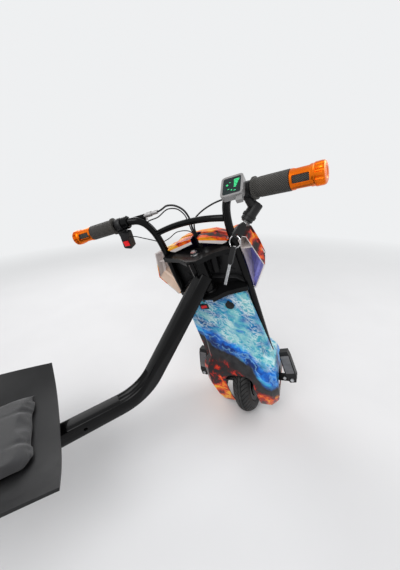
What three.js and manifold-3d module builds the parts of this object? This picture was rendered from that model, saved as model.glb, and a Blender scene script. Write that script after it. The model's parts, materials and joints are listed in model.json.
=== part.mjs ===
// Electric drift tricycle: a front end that steers on two column tubes, a bent main beam, a telescopic
// rear frame, a bucket seat and two casters.
// Millimetres, +Z up, +Y forward, +X to the rider's right. The front end stands in its own frame:
// x to the right, y forward of the steering axis, z up along that axis from the height of the axle.
import * as THREE from 'three';
import { mergeVertices } from 'three/addons/utils/BufferGeometryUtils.js';
import Module from 'manifold-3d';

const wasm = await Module();
wasm.setup();

// Driving dimensions
const fit = 0.3;
const cutOver = 2;
const overlap = 1;
const mergeDistance = 0.0001;
const roundSides = 16;
const tubeSides = 10;
const hexSides = 6;
const cordSides = 8;
const columnSteps = 16;

const steering = { rake: 21.6, turned: 36.9 };
const wheel = { radius: 100, width: 57, behindAxis: 8, rimRadius: 66 };
const column = { radius: 9.5, halfGap: 98.8, forward: 24.5, foot: 10, straight: 450, waist: 94, waistUp: 560 };
const bar = { up: 633.5, innerX: 136, innerY: 2.5, sweep: 12.95, rise: 1.7, gripInner: 173.9 };
const crossbar = { radius: 8, up: 580, crown: 11, forward: 24.3 };
const plate = { thick: 4.5, topUp: 518, lowUp: 402.5, end: 6, front: 32, lip: 8 };
const plateEdge = { apexBack: 33, apexHalf: 13, hipBack: 8, hipOut: 48 };
const head = { radius: 17, low: 412, high: 507, cup: 19.5, bevel: 1 };
const stem = { bolt: 6, top: 526, tip: 3, hex: 9.5, hexTall: 8, washer: 11, nutTall: 6 };
const gusset = { thick: 5, reach: 26, low: 466, high: 504 };
const stopPost = { radius: 11, length: 62, x: 36, y: 19, lean: 7 };
const beam = { side: 38, corner: 5, wall: 3, joint: 454, slope: 54.6, tail: 4.7, upper: 284, bend: 130, lower: 214 };
const crush = { radius: 15, sink: 7 };
const boltHole = { radius: 4.5, fromBend: 85 };
const rearTube = { side: 31, corner: 3.5, start: 60, end: 500, slot: 100, slotHalf: 4.6 };
const lengthBolt = { radius: 4, head: 7, headThick: 4, fromBend: 184 };
const rearBar = { side: 30, half: 240, wall: 3, behind: 2, plateSide: 62, plateThick: 5 };
const caster = { gap: 222, radius: 55, width: 28, trail: 30, race: 27, raceTall: 12, axle: 5 };
const casterLeg = { thick: 4, wide: 26, beside: 2.5, crown: 5, nut: 8.5, nutThick: 4, toe: 2 };
const seat = { width: 350, floor: 264, rear: -905, pan: 290, back: 225, thick: 5, bolster: 62, recline: 16, corner: 60 };
const seatMount = { width: 64, length: 170, wall: 4, centre: -775 };
const pad = { rise: 26, edge: 4, halfShare: 0.6 };

const shell = { top: 390, lobeHalf: 116, rearDepth: 72, frontDepth: 80, wall: 3, parting: 24.5, lobeParting: -42 };
const lip = { outerTop: 92, outerLow: 112, top: 383, low: 130, inner: 80, rear: -3, front: 12.5 };
const arch = { half: 45, top: 104, corner: 30 };
const pegSlot = { low: 8, high: 66, rear: -34, front: 14 };
const battery = { width: 150, depth: 40, low: 200, high: 332, centre: 25.7 };
const controller = { width: 112, depth: 34, tall: 64, centre: 24 };
const powerSwitch = { x: -39, up: 350, wide: 25, tall: 18, frame: 2.4, deep: 15, holeWide: 20.6, holeTall: 13.4 };
const rocker = { wide: 16, tall: 10, proud: 3.4, pivotIn: 5, half: 6 };
const chargePort = { x: 38, up: 350, radius: 12.5, hole: 9, thick: 3, dome: 1.4, deep: 12, ear: 3 };
const cableDown = { y: 38, hole: 11 };

const mask = { rear: 22, groove: 44, grooveEnd: 52, shoulder: 80, front: 97, nose: 106, wall: 2.5 };
const maskSize = { half: 157, top: 549, chin: 384, notch: 9, notchDepth: 38, flangeDrop: 14 };
const panel = { half: 102.6, low: 408, high: 511, rear: 34.4, thick: 3, screw: 5, screwTall: 3 };

const dropout = { thick: 6, outer: 88.9 };
const axle = { radius: 6, half: 97, nut: 9.5, nutThick: 7 };
const hub = { half: 38, flange: 24, boss: 16, bevel: 4, step: 6, rim: 10, dish: 16 };
const peg = { pivotX: 152, pivotY: -8, pivotUp: 36, cant: 20, lean: 9, length: 98, wide: 32, thick: 22 };
const pegArm = { thick: 8, tall: 24, bolt: 4, boltHead: 5.5, boltHeadThick: 4, fixX: 129, foot: 4 };
const pegPad = { length: 62, wide: 24, thick: 3, low: 22, ribs: 6 };

const grip = { length: 118.9, rubber: 17.4, flange: 20, flangeThick: 5, taper: 3, neck: 13.5, neckFrom: 66, barShort: 9 };
const sleeve = { start: 67, outer: 17, cap: 18.2, capFrom: 103, step: 1.5, seat: 5, round: 5, endWall: 6 };
const sleeveWindow = { count: 6, from: 76, to: 98, half: 4.4 };
const flutes = { count: 10, radius: 2, sides: 4 };
const clampRing = { radius: 15.5, from: -34, to: -4, bevel: 1.5 };
const display = { wide: 42, tall: 46, thick: 13, x: 141, y: -21, up: 650, tilt: 28, screenWide: 33, screenTall: 37 };
const screen = { thick: 1.6, sink: 1.2 };
const lock = { x: 147, y: -24, up: 583, radius: 12, length: 40, barrel: 9.6, proud: 3, slot: 1.6, collar: 1.6 };
const lockArm = { out: 22, back: 4, radius: 9.6 };
const keyTurn = -45;
const keyHead = { wide: 20, neck: 3, low: 15, hole: 31, holeRadius: 3.6, tall: 36, thick: 5, shank: 7 };
const ring = { radius: 12.4, wire: 1.1, yaw: -28, hang: [-0.401, -0.357, -0.843] };
const spareKey = { head: 38, headWide: 10, headThick: 6, onRing: 4, blade: 45, bladeWide: 5.4, bladeThick: 2.2 };
const switchBox = { wide: 23, deep: 20, tall: 43, x: -157.5, y: -9, up: 596, tilt: 14, neck: 7, ringFrom: -20, ringTo: -4 };
const button = { wide: 15, tall: 12, x: -158, up: 589.5, proud: 3.5, deep: 4, well: 8, dish: 1.2 };
const perch = { from: -38, to: -22, wide: 14, pivotU: -30, pivotY: 36, thick: 16 };
const adjuster = { radius: 5, length: 42, start: 66, forward: 24, up: -4, knurl: 6.6, knurlFrom: 14, knurlTo: 26, bore: 8 };
const lever = { thick: 8, pin: 3, pinOver: 1.5, length: 118, root: 16, tip: 11, tilt: 18 };

// Cords: each with its radius and the points of its own route in the front frame, then its place in the bundle
const bundle = [[37, 566], [41, 535], [43, 500], [43, 450], [41, 412], [38, 381]];
const cords = [
  { name: 'brake_cable', radius: 2.3, steps: 32, beside: 0, ahead: 0, skip: 0, route: [
    [-80, 40, 627.7], [-70, 42.2, 627.7], [-56, 39.5, 631.5], [-38, 33, 637], [-16, 30, 633], [-1, 32, 618],
    [3, 36, 595],
  ] },
  { name: 'brake_switch_wire', radius: 1.5, steps: 40, beside: -4.4, ahead: 0, skip: 0, route: [
    [-88, 22, 618], [-72, 29, 618], [-42, 36, 628], [-18, 37, 622], [-7, 38, 606], [-5, 39, 590],
  ] },
  { name: 'throttle_cable', radius: 1.9, steps: 30, beside: 4.8, ahead: 0, skip: 0, route: [
    [126, 26, 615], [108, 31, 618], [82, 34, 616], [54, 36, 609], [30, 38, 599], [14, 39, 588],
  ] },
  { name: 'switch_wire', radius: 1.2, steps: 46, beside: -2.5, ahead: 4.6, skip: 1, route: [
    [-143.8, -8, 599.7], [-134, -6, 597], [-118, 2, 584], [-109, 20, 566], [-104, 38, 549], [-80, 40, 553],
    [-46, 41, 566], [-14, 43, 560], [-5, 44, 545],
  ] },
];

const colours = {
  frameBlack: { color: 0x17171a, roughness: 0.42, metalness: 0.35 },
  plateBlack: { color: 0x1c1c1f, roughness: 0.55, metalness: 0.3 },
  steel: { color: 0xc9ccd0, roughness: 0.28, metalness: 1 },
  chrome: { color: 0xdfe2e6, roughness: 0.12, metalness: 1 },
  rubber: { color: 0x26262a, roughness: 0.85, metalness: 0 },
  plasticBlack: { color: 0x121214, roughness: 0.5, metalness: 0 },
  shellPrint: { color: 0x5fb4cf, roughness: 0.35, metalness: 0 },
  maskPrint: { color: 0xe8742a, roughness: 0.35, metalness: 0 },
  orange: { color: 0xf06a1c, roughness: 0.45, metalness: 0 },
  red: { color: 0xd8141c, roughness: 0.35, metalness: 0 },
  grey: { color: 0x5d5d5f, roughness: 0.85, metalness: 0 },
  silver: { color: 0xb9bcc2, roughness: 0.4, metalness: 0.7 },
  glass: { color: 0x11181a, roughness: 0.08, metalness: 0 },
  zinc: { color: 0xa9adb3, roughness: 0.38, metalness: 0.9 },
  castor: { color: 0x303236, roughness: 0.6, metalness: 0 },
};

// Angles in radians and places that several pieces share
const rad = THREE.MathUtils.degToRad;
const rake = rad(steering.rake);
const turned = rad(steering.turned);
const axisUp = new THREE.Vector3(0, -Math.sin(rake), Math.cos(rake));
const tyreRound = wheel.width / 2;
const wheelLean = Math.sqrt(1 - (Math.sin(turned) * Math.sin(rake)) ** 2);
const axleDrop = wheel.behindAxis * Math.cos(turned) * Math.sin(rake);
const axisFoot = (wheel.radius - tyreRound) * wheelLean + tyreRound + axleDrop;

// A share of a size, or of each size of a point
const share = (size) => (part) => part * size;
const shares = (table, ...sizes) => table.map((row) => row.map((part, i) => part * sizes[i]));

// Solids: geometry in, geometry out
function bodyOf(geometry) {
  const plain = geometry.index ? geometry.toNonIndexed() : geometry.clone();
  plain.deleteAttribute('normal');
  plain.deleteAttribute('uv');
  const merged = mergeVertices(plain, mergeDistance);
  const index = merged.index.array;
  const kept = [];
  for (let i = 0; i < index.length; i += 3) {
    const [a, b, c] = [index[i], index[i + 1], index[i + 2]];
    if (a !== b && b !== c && a !== c) kept.push(a, b, c);
  }
  const vertProperties = new Float32Array(merged.attributes.position.array);
  return new wasm.Manifold(new wasm.Mesh({ numProp: 3, vertProperties, triVerts: new Uint32Array(kept) }));
}

function geometryOf(body) {
  const mesh = body.getMesh();
  const geometry = new THREE.BufferGeometry();
  geometry.setAttribute('position', new THREE.BufferAttribute(new Float32Array(mesh.vertProperties), 3));
  geometry.setIndex([...mesh.triVerts]);
  return geometry;
}

const join = (...shapes) => geometryOf(shapes.map(bodyOf).reduce((all, one) => all.add(one)));
const cut = (shape, ...cutters) => geometryOf(
  cutters.map(bodyOf).reduce((all, one) => all.subtract(one), bodyOf(shape)),
);
const meet = (shape, other) => geometryOf(bodyOf(shape).intersect(bodyOf(other)));

function at(shape, x, y, z) {
  return shape.clone().translate(x, y, z);
}

function block(low, high) {
  const size = high.map((value, i) => value - low[i]);
  const centre = high.map((value, i) => (value + low[i]) / 2);
  return at(new THREE.BoxGeometry(...size), ...centre);
}

// A cylinder along z between two heights
function rod(radius, low, high, sides = roundSides) {
  const shape = new THREE.CylinderGeometry(radius, radius, high - low, sides);
  return shape.rotateX(Math.PI / 2).translate(0, 0, (low + high) / 2);
}
const rodX = (radius, low, high, sides) => rod(radius, low, high, sides).rotateY(Math.PI / 2);
const rodY = (radius, low, high, sides) => rod(radius, low, high, sides).rotateX(-Math.PI / 2);

// A closed profile of [radius, height] points turned about z
function turnedShape(profile, sides = roundSides) {
  const points = [...profile, profile[0]].map(([radius, height]) => new THREE.Vector2(radius, height));
  return new THREE.LatheGeometry(points, sides).rotateX(Math.PI / 2);
}

// A flat outline of [x, y] points raised along z
function slab(outline, low, high) {
  const shape = new THREE.Shape(outline.map(([x, y]) => new THREE.Vector2(x, y)));
  const solid = new THREE.ExtrudeGeometry(shape, { depth: high - low, bevelEnabled: false });
  return solid.translate(0, 0, low);
}

// The same outline read as [x, z] and raised along y, or read as [y, z] and raised along x
const slabY = (outline, low, high) => slab(outline, -high, -low).rotateX(Math.PI / 2);
const slabX = (outline, low, high) => slab(outline, low, high).rotateX(Math.PI / 2).rotateZ(Math.PI / 2);

// Calls a maker with two lengths in rising order
const between = (a, b, make) => make(Math.min(a, b), Math.max(a, b));
const mirrored = (outline) => [...outline, ...outline.map(([x, y]) => [-x, y]).reverse()];

// A counter-clockwise outline of [x, z] on the right, raised along y, and its mirror image on the left
const bothSides = (outline, low, high) => [
  slabY(outline, low, high),
  slabY(outline.map(([x, z]) => [-x, z]).reverse(), low, high),
];

// A round tube along a curve
function tube(curve, radius, steps, sides = tubeSides) {
  const shape = new THREE.Shape();
  for (let i = 0; i < sides; i += 1) {
    const angle = (i / sides) * 2 * Math.PI;
    const x = radius * Math.cos(angle);
    const y = radius * Math.sin(angle);
    if (i) shape.lineTo(x, y);
    else shape.moveTo(x, y);
  }
  shape.closePath();
  return new THREE.ExtrudeGeometry(shape, { steps, extrudePath: curve, bevelEnabled: false });
}

const curveThrough = (points) => new THREE.CatmullRomCurve3(points.map((p) => new THREE.Vector3(...p)));

// Skin through rings of points, capped at both ends. A ring is counter-clockwise seen from the last ring.
function loft(rings, flatRing = rings[0].map((p) => [p.x, p.y])) {
  const count = rings[0].length;
  const positions = rings.flat().flatMap((p) => [p.x, p.y, p.z]);
  const index = [];
  for (let r = 0; r + 1 < rings.length; r += 1) {
    for (let i = 0; i < count; i += 1) {
      const a = r * count + i;
      const b = r * count + ((i + 1) % count);
      index.push(a, b, b + count, a, b + count, a + count);
    }
  }
  const contour = flatRing.map(([x, y]) => new THREE.Vector2(x, y));
  const last = (rings.length - 1) * count;
  for (const [a, b, c] of THREE.ShapeUtils.triangulateShape(contour, [])) {
    index.push(c, b, a, last + a, last + b, last + c);
  }
  const geometry = new THREE.BufferGeometry();
  geometry.setAttribute('position', new THREE.Float32BufferAttribute(positions, 3));
  geometry.setIndex(index);
  return geometry;
}

// A square outline with rounded corners
function roundSquare(side, corner, perCorner = 2) {
  const points = [];
  for (let quarter = 0; quarter < 4; quarter += 1) {
    for (let i = 0; i <= perCorner; i += 1) {
      const angle = ((quarter + i / perCorner) * Math.PI) / 2;
      const swing = (quarter * Math.PI) / 2 + Math.PI / 4;
      const reach = (side / 2 - corner) * Math.SQRT2;
      points.push([
        reach * Math.cos(swing) + corner * Math.cos(angle),
        reach * Math.sin(swing) + corner * Math.sin(angle),
      ]);
    }
  }
  return points;
}

// Moves each point of a counter-clockwise outline inward along its corner's bisector
function inset(outline, distance) {
  return outline.map(([x, y], i) => {
    const [px, py] = outline[(i + outline.length - 1) % outline.length];
    const [nx, ny] = outline[(i + 1) % outline.length];
    const before = new THREE.Vector2(x - px, y - py).normalize();
    const after = new THREE.Vector2(nx - x, ny - y).normalize();
    const inwardBefore = new THREE.Vector2(-before.y, before.x);
    const inwardAfter = new THREE.Vector2(-after.y, after.x);
    const sum = inwardBefore.clone().add(inwardAfter);
    const sharpest = 0.4;
    const reach = distance / Math.max(sum.dot(inwardBefore), sharpest);
    return [x + sum.x * reach, y + sum.y * reach];
  });
}

function part(parent, name, shape, look) {
  const mesh = new THREE.Mesh(geometryOf(bodyOf(shape)), new THREE.MeshStandardMaterial(look));
  mesh.name = name;
  parent.add(mesh);
  return mesh;
}

function pivot(parent, position = [0, 0, 0], rotation = [0, 0, 0]) {
  const group = new THREE.Group();
  group.position.set(...position);
  group.rotation.set(...rotation);
  parent.add(group);
  return group;
}

// Scene graph
const trike = new THREE.Group();
const rear = pivot(trike);
const headFrame = pivot(rear, [0, 0, axisFoot], [rake, 0, 0]);
const front = pivot(trike, [0, 0, axisFoot], [rake, 0, turned]);

// Main beam: stations down the centre line, each with its place and its slope
const beamSlope = rad(beam.slope);
const beamTail = rad(beam.tail);
const beamStart = axisUp.clone().multiplyScalar(beam.joint).add(new THREE.Vector3(0, 0, axisFoot));
const backAlong = (slope) => new THREE.Vector3(0, -Math.cos(slope), -Math.sin(slope));
const upFrom = (slope) => new THREE.Vector3(0, -Math.sin(slope), Math.cos(slope));
const bendStart = beamStart.clone().addScaledVector(backAlong(beamSlope), beam.upper);
const bendCentre = bendStart.clone().addScaledVector(upFrom(beamSlope), beam.bend);
const onBend = (slope, radius) => bendCentre.clone().addScaledVector(upFrom(slope), -radius);
const bendEnd = onBend(beamTail, beam.bend);
const behindBend = (distance) => bendEnd.clone().addScaledVector(backAlong(beamTail), distance);

function squareRing(place, slope, side, corner) {
  const up = upFrom(slope);
  return roundSquare(side, corner).map(([x, y]) => new THREE.Vector3(x, 0, 0).addScaledVector(up, y).add(place));
}

function squareBar(stations, side, corner) {
  const rings = stations.map(({ place, slope }) => squareRing(place, slope, side, corner));
  return loft(rings, roundSquare(side, corner));
}

function mainBeam() {
  const bendSteps = 10;
  const stations = [{ place: beamStart, slope: beamSlope }];
  for (let i = 0; i <= bendSteps; i += 1) {
    const slope = beamSlope + ((beamTail - beamSlope) * i) / bendSteps;
    stations.push({ place: onBend(slope, beam.bend), slope });
  }
  stations.push({ place: behindBend(beam.lower), slope: beamTail });
  const outside = squareBar(stations, beam.side, beam.corner);
  const boreEnds = [rearTube.start - cutOver, beam.lower + cutOver];
  const bore = squareBar(
    boreEnds.map((distance) => ({ place: behindBend(distance), slope: beamTail })),
    beam.side - 2 * beam.wall,
    rearTube.corner,
  );
  const crushRadius = beam.bend - beam.side / 2 - (crush.radius - crush.sink);
  const crushSteps = 6;
  const crushPath = new THREE.CatmullRomCurve3(Array.from({ length: crushSteps + 1 }, (unused, i) => (
    onBend(beamSlope + ((beamTail - beamSlope) * i) / crushSteps, crushRadius)
  )));
  const boltAt = behindBend(boltHole.fromBend);
  const clampAt = behindBend(lengthBolt.fromBend);
  const across = [-beam.side, beam.side];
  return cut(
    outside,
    bore,
    tube(crushPath, crush.radius, crushSteps),
    headClearance(),
    at(rodX(boltHole.radius, ...across, tubeSides), boltAt.x, boltAt.y, boltAt.z),
    at(rodX(lengthBolt.radius + fit, ...across, tubeSides), clampAt.x, clampAt.y, clampAt.z),
  );
}

// The room that the head tube and its gusset take, in the frame of the rear
function headClearance() {
  const turnedRod = rod(head.radius + fit, head.low - head.radius, head.high + head.radius);
  return turnedRod.rotateX(rake).translate(0, 0, axisFoot);
}

function headTube() {
  const tubeBody = rod(head.radius, head.low, head.high);
  const plateBody = block([-gusset.thick / 2, -gusset.reach, gusset.low], [gusset.thick / 2, 0, gusset.high]);
  const bore = rod(stem.bolt + fit, head.low - cutOver, head.high + cutOver);
  const beamRoom = squareBar(
    [{ place: beamStart, slope: beamSlope }, { place: bendStart, slope: beamSlope }],
    beam.side + 2 * fit,
    beam.corner,
  );
  const roomInHead = beamRoom.translate(0, 0, -axisFoot).rotateX(-rake);
  const trimmedPlate = cut(plateBody, roomInHead);
  return cut(join(tubeBody, trimmedPlate), bore);
}

const bearing = (low, high) => turnedShape([
  [stem.bolt + fit, low],
  [head.cup - head.bevel, low],
  [head.cup, low + head.bevel],
  [head.cup, high - head.bevel],
  [head.cup - head.bevel, high],
  [stem.bolt + fit, high],
]);

part(rear, 'main_beam', mainBeam(), colours.frameBlack);
part(headFrame, 'head_tube', headTube(), colours.frameBlack);
part(headFrame, 'upper_bearing', bearing(head.high + fit, plate.topUp - plate.thick - fit), colours.plateBlack);
part(headFrame, 'lower_bearing', bearing(plate.lowUp + fit, head.low - fit), colours.plateBlack);

// Rear frame: the telescopic tube, its clamp bolt and the crossbar with the caster plates
function telescopicTube() {
  const stations = [rearTube.start, rearTube.end].map((distance) => ({ place: behindBend(distance), slope: beamTail }));
  const outside = squareBar(stations, rearTube.side, rearTube.corner);
  const slotFrom = lengthBolt.fromBend - rearTube.slot - rearTube.slotHalf;
  const slotEnds = [slotFrom, lengthBolt.fromBend + rearTube.slotHalf].map((distance) => behindBend(distance));
  const half = rearTube.slotHalf;
  const slotBlock = block([-rearTube.side, 0, -half], [rearTube.side, slotEnds[0].distanceTo(slotEnds[1]), half]);
  const slotCut = slotBlock.rotateX(beamTail).translate(slotEnds[1].x, slotEnds[1].y, slotEnds[1].z);
  return cut(outside, slotCut);
}

function clampBolt() {
  const reach = beam.side / 2 + fit;
  const shape = join(
    rodX(lengthBolt.radius, -reach - lengthBolt.headThick, reach + lengthBolt.headThick, tubeSides),
    rodX(lengthBolt.head, reach, reach + lengthBolt.headThick, hexSides),
    rodX(lengthBolt.head, -reach - lengthBolt.headThick, -reach, hexSides),
  );
  const place = behindBend(lengthBolt.fromBend);
  return at(shape, place.x, place.y, place.z);
}

const tubeEnd = behindBend(rearTube.end);
const rearBarTop = behindBend(rearTube.end).z - rearTube.side / 2 / Math.cos(beamTail) - fit;
const rearBarY = tubeEnd.y + rearBar.side / 2 + rearBar.behind;
const casterPlateLow = rearBarTop - rearBar.side - rearBar.plateThick;
const raceLow = casterPlateLow - caster.raceTall;

function rearCrossbar() {
  const outline = roundSquare(rearBar.side, rearTube.corner);
  const bore = roundSquare(rearBar.side - 2 * rearBar.wall, rearTube.corner / 2);
  const centreUp = rearBarTop - rearBar.side / 2;
  const shape = cut(
    slabX(outline, -rearBar.half, rearBar.half),
    slabX(bore, -rearBar.half - cutOver, -caster.gap / 2),
    slabX(bore, caster.gap / 2, rearBar.half + cutOver),
  );
  const plates = [-1, 1].flatMap((side) => {
    const half = rearBar.plateSide / 2;
    const x = side * caster.gap;
    const top = -rearBar.side / 2 + fit;
    return [
      block([x - half, -half, top - rearBar.plateThick - fit], [x + half, half, top]),
      at(rod(caster.race, -rearBar.side / 2 - rearBar.plateThick - caster.raceTall, top - fit), x, 0, 0),
    ];
  });
  return at(join(shape, ...plates), 0, rearBarY, centreUp);
}

part(rear, 'length_bolt', clampBolt(), colours.zinc);
const rearFrame = pivot(rear);
part(rearFrame, 'rear_tube', telescopicTube(), colours.frameBlack);
part(rearFrame, 'rear_crossbar', rearCrossbar(), colours.frameBlack);

// Casters: a fork that swivels under the race, and a wheel on its axle
const casterAxleUp = caster.radius;
const crownTop = raceLow - fit;
const legGap = caster.width / 2 + casterLeg.beside;
const legOuter = legGap + casterLeg.thick;

function casterFork() {
  const crown = rod(caster.race, crownTop - casterLeg.crown, crownTop);
  const reach = caster.trail;
  const legHead = caster.race * 0.85;
  const leg = [
    [legHead, crownTop],
    [-legHead, crownTop],
    [-reach - casterLeg.wide / 2, casterAxleUp],
    [-reach, casterAxleUp - casterLeg.wide / 2],
    [-reach + casterLeg.wide / 2, casterAxleUp - casterLeg.toe],
  ];
  const legs = [-1, 1].map((side) => between(side * legGap, side * legOuter, (low, high) => slabX(leg, low, high)));
  const boltHalf = legOuter + casterLeg.nutThick;
  const bolt = rodX(caster.axle, -boltHalf, boltHalf, tubeSides);
  const nuts = [-1, 1].map((side) => between(
    side * (legOuter - overlap),
    side * boltHalf,
    (low, high) => rodX(casterLeg.nut, low, high, hexSides),
  ));
  return join(crown, ...legs, at(join(bolt, ...nuts), 0, -reach, casterAxleUp));
}

function casterWheel() {
  const half = caster.width / 2;
  const bore = caster.axle + fit;
  const radiusShare = share(caster.radius);
  const rightSide = [
    [caster.radius, half * 0.55],
    [radiusShare(0.82), half],
    [radiusShare(0.76), half * 0.6],
    [bore * 3, half * 0.6],
    [bore * 2.6, half],
    [bore, half],
  ];
  const leftSide = rightSide.map(([radius, x]) => [radius, -x]).reverse();
  return turnedShape([...leftSide, ...rightSide]).rotateY(Math.PI / 2);
}

for (const [side, word] of [[-1, 'left'], [1, 'right']]) {
  const swivel = pivot(rearFrame, [side * caster.gap, rearBarY, 0]);
  part(swivel, `caster_fork_${word}`, casterFork(), colours.zinc);
  const spin = pivot(swivel, [0, -caster.trail, casterAxleUp]);
  part(spin, `caster_wheel_${word}`, casterWheel(), colours.castor);
}

// Seat: a thick curved sheet over a line that runs from the front lip, along the pan and up the back
function sheet(surface, low, high, nu, nv) {
  const positions = [];
  const index = [];
  const nudge = 0.001;
  for (const offset of [low, high]) {
    for (let i = 0; i <= nu; i += 1) {
      for (let j = 0; j <= nv; j += 1) {
        const [u, v] = [i / nu, j / nv];
        const point = surface(u, v);
        const alongU = surface(Math.min(u + nudge, 1), v).sub(surface(Math.max(u - nudge, 0), v));
        const alongV = surface(u, Math.min(v + nudge, 1)).sub(surface(u, Math.max(v - nudge, 0)));
        const normal = alongU.cross(alongV).normalize();
        const rise = typeof offset === 'function' ? offset(u, v) : offset;
        positions.push(...point.addScaledVector(normal, rise).toArray());
      }
    }
  }
  const width = nv + 1;
  const layer = (nu + 1) * width;
  for (let i = 0; i < nu; i += 1) {
    for (let j = 0; j < nv; j += 1) {
      const a = i * width + j;
      index.push(a, a + 1, a + width + 1, a, a + width + 1, a + width);
      const b = a + layer;
      index.push(b, b + width + 1, b + 1, b, b + width, b + width + 1);
    }
  }
  const wallOf = (a, b) => index.push(a, a + layer, b + layer, a, b + layer, b);
  for (let i = 0; i < nu; i += 1) {
    wallOf((i + 1) * width, i * width);
    wallOf(i * width + nv, (i + 1) * width + nv);
  }
  for (let j = 0; j < nv; j += 1) {
    wallOf(j, j + 1);
    wallOf(nu * width + j + 1, nu * width + j);
  }
  const geometry = new THREE.BufferGeometry();
  geometry.setAttribute('position', new THREE.Float32BufferAttribute(positions, 3));
  geometry.setIndex(index);
  return geometry;
}

const recline = rad(seat.recline);
const upBack = (distance) => new THREE.Vector2(
  seat.rear - distance * Math.sin(recline),
  seat.floor + distance * Math.cos(recline),
);
const panFront = new THREE.Vector2(seat.rear + seat.pan + seat.corner, seat.floor + seat.thick * 2);
const panRear = new THREE.Vector2(seat.rear + seat.corner, seat.floor);
const seatSpine = new THREE.CurvePath();
seatSpine.add(new THREE.LineCurve(panFront, panRear));
seatSpine.add(new THREE.QuadraticBezierCurve(panRear, upBack(0), upBack(seat.corner)));
seatSpine.add(new THREE.LineCurve(upBack(seat.corner), upBack(seat.back)));

function seatSurface(u, v) {
  const point = seatSpine.getPointAt(u);
  const stride = 0.02;
  const ahead = seatSpine.getPointAt(Math.min(u + stride, 1));
  const behind = seatSpine.getPointAt(Math.max(u - stride, 0));
  const along = ahead.clone().sub(behind).normalize();
  const inward = new THREE.Vector2(-along.y, along.x).multiplyScalar(-1);
  const across = 2 * v - 1;
  const deepest = Math.sin(Math.PI * Math.min(Math.max(u * 0.9 + 0.08, 0), 1));
  const raise = seat.bolster * Math.abs(across) ** 3 * (0.35 + 0.65 * deepest);
  const narrow = 1 - 0.22 * Math.abs(across) * u ** 3;
  const x = (seat.width / 2) * across * narrow;
  return new THREE.Vector3(x, point.x + inward.x * raise, point.y + inward.y * raise);
}

function padSurface(u, v) {
  return seatSurface(0.06 + 0.4 * u, 0.5 + (v - 0.5) * pad.halfShare);
}

const crownOf = (t) => 1 - (2 * t - 1) ** 4;
const padRise = (u, v) => fit + pad.edge + pad.rise * Math.sqrt(Math.max(crownOf(u) * crownOf(v), 0));
const seatSheet = (low, high) => sheet(seatSurface, low, high, 16, 12);

part(rearFrame, 'seat_shell', seatSheet(-seat.thick, 0), colours.plasticBlack);
const padRoom = seatSheet(-seat.thick * 3, fit);
part(rearFrame, 'seat_pad', cut(sheet(padSurface, -seat.thick, padRise, 12, 12), padRoom), colours.rubber);

// Seat bracket: a folded channel that sits on the telescopic tube and carries the pan
function seatBracket() {
  const half = seatMount.width / 2;
  const ahead = (seatMount.centre - tubeEnd.y) / Math.cos(beamTail);
  const tubeCentre = tubeEnd.clone().addScaledVector(backAlong(beamTail), -ahead);
  const low = tubeCentre.z + rearTube.side / 2 / Math.cos(beamTail) + fit;
  const front = seatMount.centre + seatMount.length / 2;
  const back = seatMount.centre - seatMount.length / 2;
  const raised = block([-half, back, low - seatMount.wall * 2], [half, front, seat.floor + seatMount.wall]);
  const hollow = block(
    [-half + seatMount.wall, back - cutOver, low - seatMount.wall * 4],
    [half - seatMount.wall, front + cutOver, low - seatMount.wall * 2.5],
  );
  const tubeRoom = squareBar(
    [rearTube.start, rearTube.end + cutOver].map((distance) => ({ place: behindBend(distance), slope: beamTail })),
    rearTube.side + 2 * fit,
    rearTube.corner,
  );
  const panRoom = seatSheet(-seat.thick - fit, seat.thick * 4);
  return cut(raised, hollow, tubeRoom, panRoom);
}

part(rearFrame, 'seat_bracket', seatBracket(), colours.plateBlack);

// Column tubes: straight at the foot, waisted under the crossbar, then bent out to the grips
const gripTurn = (side) => [0, -side * rad(bar.rise), -side * rad(bar.sweep)];
const gripRoot = (side) => {
  const reach = (bar.gripInner - bar.innerX) / Math.cos(rad(bar.sweep));
  const back = reach * Math.sin(rad(bar.sweep));
  return [side * bar.gripInner, bar.innerY - back, bar.up + reach * Math.sin(rad(bar.rise))];
};

// The corner from the waist to the bar, as shares of the way out, back and up
const columnCorner = [
  [0, 0, -0.2],
  [0.07, 0.045, 0.3],
  [0.286, 0.273, 0.72],
  [0.571, 0.636, 0.93],
  [1, 1, 1],
];

function columnCurve(side) {
  const lean = column.waistUp - column.straight;
  const narrowing = column.halfGap - column.waist;
  const [gx, gy, gz] = gripRoot(side);
  const corner = columnCorner.map(([out, back, up]) => [
    side * (column.waist + out * (bar.innerX - column.waist)),
    column.forward - back * (column.forward - bar.innerY),
    column.waistUp + up * (bar.up - column.waistUp),
  ]);
  return curveThrough([
    [side * column.halfGap, column.forward, column.straight - overlap],
    [side * (column.waist + narrowing * 0.2), column.forward, column.straight + lean * 0.6],
    ...corner,
    [(side * (bar.innerX + bar.gripInner)) / 2, (bar.innerY + gy) / 2, (bar.up + gz) / 2],
    [gx, gy, gz],
  ]);
}

function columnShape(side, extra = 0) {
  const radius = column.radius + extra;
  const foot = at(rod(radius, column.foot, column.straight, tubeSides), side * column.halfGap, column.forward, 0);
  const bend = tube(columnCurve(side), radius, columnSteps);
  const [gx, gy, gz] = gripRoot(side);
  const straight = rodX(radius, -overlap, grip.length - grip.barShort, tubeSides);
  if (side < 0) straight.rotateY(Math.PI);
  const turn = gripTurn(side);
  straight.rotateY(turn[1]).rotateZ(turn[2]).translate(gx, gy, gz);
  return join(foot, bend, straight);
}

const columnsGrown = (extra) => [-1, 1].map((side) => columnShape(side, extra));

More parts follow.
